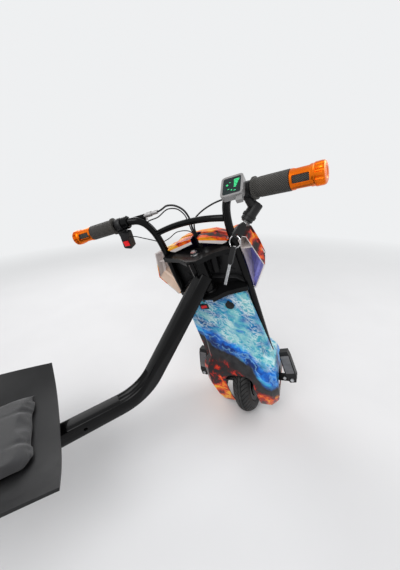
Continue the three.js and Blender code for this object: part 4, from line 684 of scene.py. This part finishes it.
for name in ("rear_cover", "front_cover"):
    half = from_solid(name, shell_print, 2.2, 22)
    sort_faces(half, lambda p, n: painted_shade_plastic if outward(p, n) < INWARD else shell_print)
print("shell halves", pieces["rear_cover"].name, pieces["front_cover"].name)

# %% [markdown]
# ## Charging port
# Under its cap the charging port is a dark socket. The film ends at its rim, so the small faces of the
# recess get the near-black of the shell's inside: the socket's own dark plastic, and painted shade.

# %% Port
PORT_REACH, PORT_FACE = 13 * MM, 200 * MM * MM
cap_points = [v.co for v in frame["nodes"]["charge_cap"].data.vertices]
cap_place = sum(cap_points, Vector()) / len(cap_points)
rear_skin = pieces["rear_cover"].data
shade_slot = rear_skin.materials.find(painted_shade_plastic.name)
recess = [f for f in rear_skin.polygons if (f.center - cap_place).length < PORT_REACH and f.area < PORT_FACE]
# The recess faces take the near-black: dark socket plastic and painted shade.
for face in recess:
    face.material_index = shade_slot
print("faces of the port", len(recess))

# %% [markdown]
# ## The mask
# The fairing round the head is one faceted moulding, and its outer skin carries a film of flames. On
# the rider's side the lobes keep the film down to a slanted line and the wings only at the far left,
# the rest is bare pale plastic, and the pockets are violet on the right and warm on the left.

# %% Flame film and mask
FLAME = [
    (0.36, 0.008, 0.004, 0.004), (0.43, 0.07, 0.006, 0.004), (0.49, 0.5, 0.02, 0.006),
    (0.55, 0.82, 0.11, 0.006), (0.64, 0.93, 0.34, 0.012), (0.78, 0.96, 0.62, 0.06),
]
PALE, LOBE_FALL, LOBE_LINE, WING_RIM = (0.74, 0.68, 0.66), 0.2, 543.8, -141
LINE_SOFT, RIM_SOFT = 1, 1.5


def flame_film(name, pale_low=None, pale_right=None, warmer=0.0):
    """Flames that can end on bare plastic, under a slanted height or to the right of a place."""
    def paint(place, across, up):
        hotter = spread(across, 40, -90, -0.02 + warmer, 0.13 + warmer)
        colour = ramp(maths("ADD", veins(place, 0.045, 40, (0.5, 1, 0.8)), hotter), FLAME)
        if pale_low is not None:
            height = plus(up, maths("ABSOLUTE", across), LOBE_FALL)
            colour = blended(spread(height, pale_low, pale_low - LINE_SOFT), colour, PALE)
        if pale_right is not None:
            colour = blended(spread(across, pale_right, pale_right + RIM_SOFT), colour, PALE)
        return colour
    return film(name, 0.4, 0.2, paint)


def faced_by_itself(piece, reach, start):
    """A test whether a face looks at another face of its own piece, as the inside of a hollow does."""
    mesh = piece.data
    tree = BVHTree.FromPolygons([v.co for v in mesh.vertices], [tuple(f.vertices) for f in mesh.polygons])
    return lambda point, normal: tree.ray_cast(point + normal * start, normal, reach)[0] is not None


mask_print = flame_film("printed_flame_film")
lobe_film = flame_film("printed_lobe_film", pale_low=LOBE_LINE, warmer=0.06)
wing_film = flame_film("printed_wing_film", pale_right=WING_RIM)
groove_dark, pale_rim, violet_pocket, warm_pocket, deep_violet = (
    moulded(name, shade, gloss, 0.9, 0.06, dusty)
    for name, shade, gloss, dusty in (
        ("dark_groove", (0.035, 0.012, 0.008), 0.5, 1.5),
        ("pale_mask_rim", PALE, 0.38, 1.15),
        ("violet_pocket", (0.3, 0.3, 0.72), 0.4, 1.3),
        ("warm_pocket", (0.84, 0.66, 0.54), 0.4, 1.15),
        ("deep_violet", (0.022, 0.012, 0.11), 0.4, 1.3),
    )
)
mask = from_solid("mask_fairing", mask_print, 1.6, 22)
inside_mask = faced_by_itself(mask, 110 * MM, 0.8 * MM)
print("mask", mask.name, "with", len(mask.data.polygons), "faces")

# %% [markdown]
# ## The mask's own regions
# Each face is sorted by its middle and by the way it looks. It is inside when it looks at another face
# of the mask or toward the core. The middle below the lobes gets near-black plastic as painted shade.
# The heights and widths below are those of the mask's parts.

# %% Mask regions
MASK_CORE, CORE_DEPTH, CORE_FACING = Vector((0, 45, 465)), 0.5, -0.12
POCKET_TOP, NOTCH_HALF, FLANGE_Y, WING_FROM, LOBE_LOW, GROOVE_LOW = 462, 11, 34, 92, 470, 500
FRONT_FACING, REAR_FACING, GROOVE_FACING = 0.15, -0.75, -0.05


def mask_finish(point, normal):
    """Film outside, pale plastic on rim and ribs, the pockets' own colours inside, and near-black painted
    shade in the middle below the lobes.
    """
    spot, facing = front_point(point), front_way(normal)
    away = spot - MASK_CORE
    away.y *= CORE_DEPTH
    inside = inside_mask(point, normal) or facing.dot(away.normalized()) < CORE_FACING
    middle = abs(spot.x) < WING_FROM
    if facing.y > FRONT_FACING and not inside:
        return mask_print
    # The middle below the lobes gets near-black plastic: painted shade.
    if middle and spot.z < LOBE_LOW:
        return painted_shade_plastic
    if inside and spot.z > GROOVE_LOW and facing.z > GROOVE_FACING and spot.y > FLANGE_Y:
        return groove_dark
    if facing.y < REAR_FACING and spot.y < FLANGE_Y:
        return lobe_film if middle else wing_film
    if abs(spot.x) < NOTCH_HALF or (inside and middle):
        return deep_violet
    if not inside:
        return mask_print
    if spot.z > POCKET_TOP:
        return pale_rim
    return violet_pocket if spot.x > 0 else warm_pocket


sort_faces(mask, mask_finish)
print("mask finishes", [m.name for m in mask.data.materials])

# %% [markdown]
# ## Turned parts
# Grips, sleeves and the tyre are bodies of revolution. A profile of radius and height is turned
# about z in the part's own frame, with enough sides that its outline reads as round up close.

# %% Turning helper
TURN_SIDES, SEAM_WELD = 72, 0.000001


def ring_mesh(name, points, rings, weld=0.0):
    """A skin over equal closed rings of points, each joined to the next and the last to the first."""
    count = len(points) // rings
    faces = []
    for ring in range(rings):
        here, after = ring * count, (ring + 1) % rings * count
        for i in range(count):
            j = (i + 1) % count
            faces.append((here + i, after + i, after + j, here + j))
    mesh = bpy.data.meshes.new(name)
    mesh.from_pydata(points, [], faces)
    with edited(mesh) as build:
        if weld:
            bmesh.ops.remove_doubles(build, verts=build.verts, dist=weld)
        bmesh.ops.recalc_face_normals(build, faces=build.faces)
    return mesh


def turned(name, profile, matrix):
    """A closed profile of [radius, height] in millimetres, turned about z and set into a frame."""
    points = []
    for step in range(TURN_SIDES):
        angle = 2 * pi * step / TURN_SIDES
        for radius, height in profile:
            points.append(matrix @ Vector((radius * cos(angle), radius * sin(angle), height)))
    return in_scene(name, ring_mesh(name, points, TURN_SIDES, SEAM_WELD))


# %% [markdown]
# ## Grips
# The grip rubber is moulded over the bar, with a round flange at its root and a fine diamond knurl.
# The knurl is too small to model tooth by tooth, so the height of two crossed spirals is computed
# from the grip's own angle and length, and it meets itself without a seam. That height also colours
# the rubber, near-black in the valleys and grey on the crests: painted shade and painted highlight.

# %% Knurled grips
GRIP_RUBBER, GRIP_FLANGE, GRIP_NECK, NECK_FROM, NECK_TO = 17.4, 20, 14.9, 66, 108
BAR_ROOM, KNURL_STARTS, KNURL_DEEP = 10.3, 30, 0.9 * MM


def knurled(name, matrix):
    """Rubber with diamonds between two crossed sets of spirals round the frame's z, the valleys painted
    near-black as shade and the crests grey as highlight.
    """
    material, shader, place = new_finish(name, {"Roughness": 0.6, "Specular IOR Level": 0.35}, matrix)
    x, y, z = axes_of(place)
    turns = maths("MULTIPLY", maths("ARCTAN2", y, x), KNURL_STARTS / (2 * pi))
    climb = maths("DIVIDE", z, 2 * pi * GRIP_RUBBER / KNURL_STARTS)
    ridges = [maths("PINGPONG", plus(turns, climb, way), 0.5) for way in (1.0, -1.0)]
    teeth = spread(maths("MINIMUM", *ridges), 0.04, 0.26)
    dust = noise(own_place(shader), 60)
    # Valleys near-black, crests grey: painted shade and painted highlight, with some dust noise.
    shaded(shader, shared(teeth, 0.7, dust), 0.1, 0.85, (0.002, 0.002, 0.002), (0.085, 0.08, 0.072))
    raise_surface(shader, teeth, KNURL_DEEP, 0.9)
    return material


grip_profile = [
    [BAR_ROOM, 0], [GRIP_FLANGE - 0.8, 0], [GRIP_FLANGE, 0.8], [GRIP_FLANGE, 4.2], [GRIP_FLANGE - 0.8, 5],
    [GRIP_RUBBER - 0.6, 5.4], [GRIP_RUBBER - 0.9, 8], [GRIP_RUBBER, 14], [GRIP_RUBBER, 40],
    [GRIP_RUBBER, NECK_FROM - 0.8], [GRIP_RUBBER - 0.8, NECK_FROM],
    [GRIP_NECK, NECK_FROM], [GRIP_NECK, NECK_TO], [BAR_ROOM, NECK_TO],
]
for side, node in ((-1, "left_grip"), (1, "throttle_grip")):
    grip = turned(node + "_rubber", grip_profile, grip_frame(side))
    soften(grip, 0, 40)
    finish_piece(grip, node, knurled(node + "_knurl", grip_frame(side)))
print("grips", pieces["left_grip"].name, pieces["throttle_grip"].name)

# %% [markdown]
# ## Orange end sleeves
# Each grip ends in a glossy orange sleeve with four windows, which show the rubber's neck, and a
# fluted cap. The sleeve is turned, then windows and flutes are cut in one boolean, because that
# gives true walls and crisp rims at little cost.

# %% Sleeves
SLEEVE_START, SLEEVE_OUTER, CAP_FROM, CAP_OUTER = 67, 17, 103, 18.2
GRIP_LONG, CAP_ROUND, END_WALL = 118.9, 5, 6
WINDOWS, WINDOW_FROM, WINDOW_TO, WINDOW_HALF, WINDOW_TURN = 4, 71.5, 98, 7, radians(73)
WINDOW_DEEP, WINDOW_CORNER, CORNER_STEPS = 10, 2.2 * MM, 4
FLUTES, FLUTE_RADIUS, FLUTE_SINK, FLUTE_SIDES = 10, 2.9, 0.25, 16
FLUTE_FROM, FLUTE_TO = CAP_FROM + 3, GRIP_LONG + 4
sleeve_profile = [
    [GRIP_NECK + 0.3, SLEEVE_START], [SLEEVE_OUTER - 0.6, SLEEVE_START], [SLEEVE_OUTER, SLEEVE_START + 0.6],
    [SLEEVE_OUTER, CAP_FROM - 0.4], [SLEEVE_OUTER + 0.2, CAP_FROM], [CAP_OUTER - 0.3, CAP_FROM + 1.2],
    [CAP_OUTER, CAP_FROM + 1.8], [CAP_OUTER, GRIP_LONG - CAP_ROUND], [CAP_OUTER - 0.3, GRIP_LONG - 3.2],
    [CAP_OUTER - 1.2, GRIP_LONG - 1.5], [CAP_OUTER - 2.5, GRIP_LONG - 0.4], [CAP_OUTER - 4, GRIP_LONG],
    [9, GRIP_LONG], [8, GRIP_LONG - 0.8], [0, GRIP_LONG - 0.8],
    [0, GRIP_LONG - END_WALL], [GRIP_NECK + 0.3, GRIP_LONG - END_WALL],
]


def cutter_mesh(matrix, side):
    """The windows with rounded ends and the flutes of the cap, as one mesh of separate solids."""
    first = WINDOW_TURN if side > 0 else pi - WINDOW_TURN
    size = Matrix.Diagonal((WINDOW_DEEP, 2 * WINDOW_HALF, WINDOW_TO - WINDOW_FROM, 1))
    window = Matrix.Translation((GRIP_NECK + 4, 0, (WINDOW_FROM + WINDOW_TO) / 2)) @ size
    flute = Matrix.Translation((CAP_OUTER + FLUTE_RADIUS * FLUTE_SINK, 0, (FLUTE_FROM + FLUTE_TO) / 2))
    mesh = bpy.data.meshes.new("sleeve_cutters")
    with edited(mesh) as build:
        for i in range(WINDOWS):
            turn = matrix @ Matrix.Rotation(first + 2 * pi * i / WINDOWS, 4, "Z")
            box = bmesh.ops.create_cube(build, size=1, matrix=turn @ window)
            out = (turn.to_3x3() @ Vector((1, 0, 0))).normalized()
            edges = {edge for v in box["verts"] for edge in v.link_edges}
            rims = [e for e in edges if abs((e.verts[0].co - e.verts[1].co).normalized().dot(out)) > 0.9]
            bmesh.ops.bevel(
                build, geom=rims, offset=WINDOW_CORNER, segments=CORNER_STEPS, affect="EDGES", profile=0.5,
            )
        for i in range(FLUTES):
            turn = matrix @ Matrix.Rotation(2 * pi * (i + 0.5) / FLUTES, 4, "Z")
            bmesh.ops.create_cone(
                build, cap_ends=True, segments=FLUTE_SIDES, radius1=FLUTE_RADIUS, radius2=FLUTE_RADIUS,
                depth=FLUTE_TO - FLUTE_FROM, matrix=turn @ flute,
            )
        bmesh.ops.recalc_face_normals(build, faces=build.faces)
    return mesh


def settled_mesh(piece):
    """A new mesh of a piece as its modifiers leave it."""
    bpy.context.view_layer.update()
    return bpy.data.meshes.new_from_object(piece.evaluated_get(bpy.context.evaluated_depsgraph_get()))


def carve(piece, mesh):
    """Takes a mesh of cutters out of a piece and keeps the result as its mesh."""
    cutter = in_scene("cutters", mesh)
    step = piece.modifiers.new("carved", "BOOLEAN")
    step.operation, step.object, step.solver = "DIFFERENCE", cutter, "EXACT"
    result = settled_mesh(piece)
    piece.modifiers.clear()
    piece.data = result
    bpy.data.objects.remove(cutter)


for side, node in ((-1, "left_sleeve"), (1, "throttle_sleeve")):
    sleeve = turned(node + "_shell", sleeve_profile, grip_frame(side))
    carve(sleeve, cutter_mesh(grip_frame(side), side))
    soften(sleeve, 0.3, 35)
    finish_piece(sleeve, node, orange_shell)
    print(node, "faces", len(sleeve.data.polygons))

# %% [markdown]
# ## Front tyre
# A scooter tyre has a full-round section with curved grooves that run off to the shoulders. Its skin
# is a fine grid, and each point is pulled in where a groove passes, so the tread has real depth and
# stays one skin. Places on the grid are angles in radians. The same depth also paints the grooves
# near-black: painted shade.

# %% Tyre
TYRE_RADIUS, TYRE_HALF, RIM_RADIUS, RIM_HALF, WHEEL_BACK = 100, 28.5, 66.3, 24, 8
TREAD_STEPS, TREAD_AROUND, TREAD_END = 72, 660, radians(88)
GROOVES, GROOVE_DEEP, GROOVE_BEND, BEND_RATE, SIDE_SHIFT = 42, 2.4, 1.5, 1.3, 0.25
SLOTS_FROM, SLOTS_TO, SLOTS_FADE, SLOT_HALF, SLOT_WALL = 0.1, 1.06, 0.06, 0.14, 0.07
RING_AT, RING_WAVE, RING_HALF, RING_WALL = 0.16, 0.03, 0.034, 0.016


def rise(value, wall):
    return np.clip(value / wall, 0, 1)


def tread_depth(across, around):
    """How deep a point of the tread lies, from its place across and around the tyre."""
    out = np.abs(across)
    bend = GROOVE_BEND * np.sin(out * BEND_RATE) + np.sign(across) * SIDE_SHIFT
    sipe = np.abs((around * GROOVES / (2 * np.pi) + bend) % 1 - 0.5)
    open_here = rise(out - SLOTS_FROM, SLOTS_FADE) * rise(SLOTS_TO - out, SLOTS_FADE)
    line = RING_AT + RING_WAVE * np.sin(around * GROOVES)
    rings = rise(RING_HALF - np.abs(out - line), RING_WALL)
    return GROOVE_DEEP * np.maximum(rise(SLOT_HALF - sipe, SLOT_WALL) * open_here, rings)


def tyre_mesh():
    """The tyre's skin from bead to bead, closed round the rim, with its grooves' depth kept on it."""
    across = np.linspace(-TREAD_END, TREAD_END, TREAD_STEPS)
    around = np.linspace(0, 2 * np.pi, TREAD_AROUND, endpoint=False)
    grid_across, grid_around = np.meshgrid(across, around)
    sunk = tread_depth(grid_across, grid_around)
    bulge = TYRE_HALF - sunk
    bead = np.full((TREAD_AROUND, 1), RIM_RADIUS)
    rim, flat = np.full_like(bead, RIM_HALF), np.zeros_like(bead)
    radius = np.hstack([bead, TYRE_RADIUS - TYRE_HALF + bulge * np.cos(grid_across), bead])
    side = np.hstack([-rim, bulge * np.sin(grid_across), rim])
    turn = around[:, None]
    points = np.stack([side, radius * np.cos(turn) - WHEEL_BACK, radius * np.sin(turn)], axis=-1)
    placed = [front_frame @ Vector(p) for p in points.reshape(-1, 3)]
    mesh = ring_mesh("front_tyre_tread", placed, TREAD_AROUND)
    depth = (np.hstack([flat, sunk, flat]) / GROOVE_DEEP).astype(np.float32)
    mesh.attributes.new("groove_depth", "FLOAT", "POINT").data.foreach_set("value", depth.ravel())
    return mesh


def dusty_tread_groove_shade(name):
    """Rubber that is dusty grey where it meets the road, and painted near-black down in its grooves as
    shade.
    """
    material, shader, place = new_finish(name, {"Roughness": 0.6, "Specular IOR Level": 0.3})
    dust = ramp(noise(place, 45, 5), [(0.3, 0.016, 0.016, 0.0165), (0.75, 0.036, 0.035, 0.034)])
    depth = add(shader, "Attribute", {}, attribute_name="groove_depth").outputs["Fac"]
    # The groove depth blends the colour to near-black: painted shade in the grooves.
    feed(shader, {"Base Color": blended(depth, dust, (0.002, 0.002, 0.002))})
    raise_surface(shader, noise(place, 900), 0.2 * MM, 0.7)
    return material


tyre = in_scene("front_tyre_tread", tyre_mesh())
soften(tyre, 0, 50)
finish_piece(tyre, "front_tyre", dusty_tread_groove_shade("tyre_tread_rubber"))
print("tyre points", len(tyre.data.vertices))

# %% [markdown]
# ## Display
# The lens is dark glass over a lit panel. A gauge of six bars and a few small marks glow green in it.
# They are thin raised strips, because light that comes from a shape stays sharp at any distance.

# %% Lens and lit figures
DISPLAY_PLACE, DISPLAY_TILT, LENS_TOP = Vector((141, -21, 650)), radians(28), 5.6
STRIP_RISE, STRIP_THICK, GAUGE_BARS = 0.12, 0.2, 6
lens_glass, lens_shader, place = new_finish("display_lens_glass", {"Specular IOR Level": 0.25})
smear = noise(place, 160, 4)
shaded(lens_shader, smear, 0.3, 0.8, (0.004, 0.011, 0.012), (0.008, 0.02, 0.022), (0.05, 0.14))
from_solid("display_lens", lens_glass, 0.4, 40)

glass_green = {"Base Color": (0.02, 0.4, 0.12, 1), "Roughness": 0.4, "Emission Strength": 0.9}
green_light, green_shader, place = new_finish("display_green_light", glass_green)
glow = ramp(noise(place, 900, 2), [(0.3, 0.02, 0.62, 0.2), (0.7, 0.06, 0.85, 0.34)])
feed(green_shader, {"Emission Color": glow})
display_frame = front_frame @ Matrix.Translation(DISPLAY_PLACE) @ Matrix.Rotation(DISPLAY_TILT, 4, "X")

# Each strip is a middle and a size in millimetres.
marks = [(-9, 3, 5, 1), (-9, 3, 1, 5), (-4, 8, 2, 1), (-6, -7, 3, 1), (0, -10, 2, 2), (6, -12, 4, 1)]
gauge = [(8.5 - bar * 0.5, 12.5 - bar * 3.2, 10 - bar * 1.2, 1.7) for bar in range(GAUGE_BARS)]
lit_mesh = bpy.data.meshes.new("display_figures")
with edited(lit_mesh) as build:
    for x, y, wide, tall in gauge + marks:
        middle, size = (x, y, LENS_TOP + STRIP_RISE), (wide, tall, STRIP_THICK, 1)
        strip = display_frame @ Matrix.Translation(middle) @ Matrix.Diagonal(size)
        bmesh.ops.create_cube(build, size=1, matrix=strip)
figures = in_scene("display_figures", lit_mesh)
figures.data.materials.append(green_light)
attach(figures, frame["nodes"]["display_lens"]["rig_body"])
print("lit strips", len(gauge + marks))

# %% [markdown]
# ## Cables
# Four cables run from the controls over the crossbar, meet behind the mask and go down into the
# shell, so their lengths are fixed by their routes. Each repeats the route of its solid as one smooth
# curve through listed points in the front frame.

# %% Cables
CABLE_STEPS, CABLE_ROUND = 12, 4
BUNDLE = [[37, 566], [41, 535], [43, 500], [43, 450], [41, 412], [38, 381]]
CABLES = [
    ("brake_cable", 2.3, 0, 0, 0, [
        [-80, 40, 627.7], [-70, 42.2, 627.7], [-56, 39.5, 631.5], [-38, 33, 637], [-16, 30, 633],
        [-1, 32, 618], [3, 36, 595]]),
    ("brake_switch_wire", 1.5, -4.4, 0, 0, [
        [-97, 19, 617.5], [-88, 22, 618], [-72, 29, 618], [-42, 36, 628], [-18, 37, 622], [-7, 38, 606],
        [-5, 39, 590]]),
    ("throttle_cable", 1.9, 4.8, 0, 0, [
        [126, 26, 615], [108, 31, 618], [82, 34, 616], [54, 36, 609], [30, 38, 599], [14, 39, 588]]),
    ("switch_wire", 1.2, -2.5, 4.6, 1, [
        [-143.8, -8, 599.7], [-134, -6, 597], [-118, 2, 584], [-109, 20, 566], [-104, 38, 549],
        [-80, 40, 553], [-46, 41, 566], [-14, 43, 560], [-5, 44, 545]]),
]


def smooth_route(points):
    """Points along the centripetal curve through the given points, ends included."""
    knots = [Vector(p) for p in points]
    knots = [2 * knots[0] - knots[1], *knots, 2 * knots[-1] - knots[-2]]
    route = []
    for a, b, c, d in zip(knots, knots[1:], knots[2:], knots[3:]):
        t1 = sqrt((b - a).length)
        t2 = t1 + sqrt((c - b).length)
        t3 = t2 + sqrt((d - c).length)
        for i in range(CABLE_STEPS):
            t = t1 + (t2 - t1) * i / CABLE_STEPS
            ab = a.lerp(b, t / t1)
            bc = b.lerp(c, (t - t1) / (t2 - t1))
            cd = c.lerp(d, (t - t2) / (t3 - t2))
            abc = ab.lerp(bc, t / t2)
            bcd = bc.lerp(cd, (t - t1) / (t3 - t1))
            route.append(abc.lerp(bcd, (t - t1) / (t2 - t1)))
    return [*route, knots[-2]]


def cable(name, radius, beside, ahead, skip, points):
    """A round run through its own points, then down the bundle beside and ahead of its middle."""
    down = [[beside, y + ahead, z] for y, z in BUNDLE[skip:]]
    route = [front_frame @ p for p in smooth_route([*points, *down])]
    curve = bpy.data.curves.new(name + "_run", "CURVE")
    curve.dimensions, curve.bevel_depth, curve.bevel_resolution = "3D", radius * MM, CABLE_ROUND
    curve.use_fill_caps = True
    line = curve.splines.new("POLY")
    line.points.add(len(route) - 1)
    for point, place in zip(line.points, route):
        point.co = (*place, 1)
    piece = in_scene(name + "_run", curve)
    curve.materials.append(cable_skin)
    finish_piece(piece, name, None)
    length = sum((b - a).length for a, b in zip(route, route[1:]))
    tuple(route[0])
    print(name, "is", round(length, 3), "m long")


for details in CABLES:
    cable(*details)

# %% [markdown]
# ## Hidden pieces
# The battery and the controller stand inside the shell. They are seen only when it is opened, but
# they get their own finishes too: shrink film round the cells, and a cast case for the controller.

# %% Battery and controller
shrink_film = moulded("battery_shrink_film", (0.02, 0.06, 0.16), 0.25, 6, 0.2, dusty=1.3)
from_solid("battery_pack", shrink_film, 3, 40)
from_solid("controller", silver, 1, 40)
print("pieces", len(pieces))

# %% [markdown]
# ## Seat cloth
# The pad's cover is woven cloth. Two sets of threads cross at right angles, and the cloth is high
# where both are, so the weave is the product of two waves, with a soft fade from wear over it. The
# weave's height also colours it, lighter on the crossings and darker in the hollows: painted shade.

# %% Woven cloth
THREAD, WEAVE_DEEP, FADE_SCALE = 0.0016, 0.5 * MM, 30


def woven(name, shade):
    """Cloth whose threads lie along the piece's own x and y, painted lighter on its crossings and darker in
    its hollows as shade.
    """
    material, shader, place = new_finish(name, {"Roughness": 0.82, "Sheen Weight": 0.35})
    warp, weft = (
        maths("ABSOLUTE", maths("SINE", maths("MULTIPLY", axis, pi / THREAD)))
        for axis in axes_of(place)[:2]
    )
    cloth = maths("MULTIPLY", warp, weft)
    tone = shared(cloth, 0.6, noise(place, FADE_SCALE, 4))
    # Crossings lighter and hollows darker: painted shade, mixed with a random fade from wear.
    shaded(shader, tone, 0.1, 0.9, [c * 0.5 for c in shade], [c * 1.7 for c in shade])
    raise_surface(shader, cloth, WEAVE_DEEP, 0.8)
    return material


seat_cloth = woven("seat_cloth", (0.02, 0.02, 0.022))
print("cloth", seat_cloth.name)

# %% [markdown]
# ## Seat pad
# The pad is a foam cushion, whose cover pulls it into a crown and draws its sides in between the
# corners. The solid is remeshed to small even cells, a short cloth simulation with inner pressure
# lets it swell, and two sewn channels are pressed in.

# %% Stuffed pad
PAD_CELL, PAD_SWELL, PAD_SHRINK = 0.005, 0.006, 0.003
PAD_FRAMES, PAD_PRESSURE, PAD_FILL = 20, 4.0, 0.7
CHANNEL_DEEP, CHANNEL_AT, CHANNEL_WIDE = 0.0045, 0.2, 0.018


def stuffed(node):
    """A cushion and its points, swollen from the node's solid by no more than the cap."""
    piece = in_scene(node + "_cushion", joined_copy(node))
    shrink = piece.modifiers.new("smaller", "DISPLACE")
    shrink.strength, shrink.mid_level = -PAD_SHRINK, 0.0
    cells = piece.modifiers.new("cells", "REMESH")
    cells.mode, cells.voxel_size = "VOXEL", PAD_CELL
    settled = piece.modifiers.new("settled", "SMOOTH")
    settled.factor, settled.iterations = 0.5, 6
    piece.data = settled_mesh(piece)
    piece.modifiers.clear()
    start = np.array([v.co for v in piece.data.vertices])
    cloth = piece.modifiers.new("foam", "CLOTH")
    cloth.settings.use_pressure = True
    cloth.settings.uniform_pressure_force = PAD_PRESSURE
    cloth.settings.effector_weights.gravity = 0
    cloth.point_cache.frame_start, cloth.point_cache.frame_end = 1, PAD_FRAMES
    for step in range(1, PAD_FRAMES + 1):
        scene.frame_set(step)
    swollen = piece.evaluated_get(bpy.context.evaluated_depsgraph_get()).data
    moved = np.array([v.co for v in swollen.vertices]) - start
    piece.modifiers.clear()
    scene.frame_set(1)
    reach = np.linalg.norm(moved, axis=1, keepdims=True)
    start = start + moved * np.minimum(1, PAD_SWELL / np.maximum(reach, 0.000001))
    return piece, start


def press_channels(points, low, high):
    """Presses two seams along the pad into its upper side."""
    across = (points[:, 0] - (low.x + high.x) / 2) / (high.x - low.x)
    deep = CHANNEL_DEEP * np.exp(-(((np.abs(across) - CHANNEL_AT) / CHANNEL_WIDE) ** 2))
    top = points[:, 2] > np.median(points[:, 2])
    points[:, 2] -= np.where(top, deep, 0)
    return points


pad_low, pad_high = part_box("seat_pad")
cushion, swollen = stuffed("seat_pad")
shaped = np.clip(press_channels(swollen, pad_low, pad_high), list(pad_low), list(pad_high))
cushion.data.vertices.foreach_set("co", shaped.ravel())
cushion.data.update()
finer = cushion.modifiers.new("finer", "SUBSURF")
finer.levels = finer.render_levels = 1
cushion.data.polygons.foreach_set("use_smooth", [True] * len(cushion.data.polygons))
finish_piece(cushion, "seat_pad", seat_cloth)
print("cushion points", len(cushion.data.vertices))

# %% [markdown]
# ## Floor
# The floor is a wide pale sheet that isn't part of the machine. Far from the machine it turns into the
# background's own brightness, so that no horizon line shows.

# %% Studio floor
FLOOR_NEAR, FLOOR_FAR, FLOOR_HALF, FLOOR_LIFT = 1.3, 3.4, 14, 1.03
floor_finish, floor_shader, place = new_finish("studio_floor", {"Roughness": 0.85})
shaded(floor_shader, noise(place, 3), 0.3, 0.7, FLOOR_COLOUR, [c * FLOOR_LIFT for c in FLOOR_COLOUR])
from_middle = add(place, "VectorMath", {0: place}, operation="LENGTH").outputs["Value"]
far_off = spread(from_middle, FLOOR_NEAR, FLOOR_FAR)
horizon = add(place, "Emission", {"Color": BACKGROUND, "Strength": 1.0}).outputs[0]
faded = add(place, "MixShader", {0: far_off, 1: floor_shader.outputs[0], 2: horizon}).outputs[0]
floor_tree = floor_finish.node_tree
floor_tree.links.new(faded, floor_tree.nodes["Material Output"].inputs["Surface"])
floor_mesh = bpy.data.meshes.new("floor")
corners = [(x * FLOOR_HALF, y * FLOOR_HALF, 0) for x, y in ((-1, -1), (1, -1), (1, 1), (-1, 1))]
floor_mesh.from_pydata(corners, [], [(0, 1, 2, 3)])
floor = in_scene("floor", floor_mesh)
floor.data.materials.append(floor_finish)
print("floor", 2 * FLOOR_HALF, "m wide")
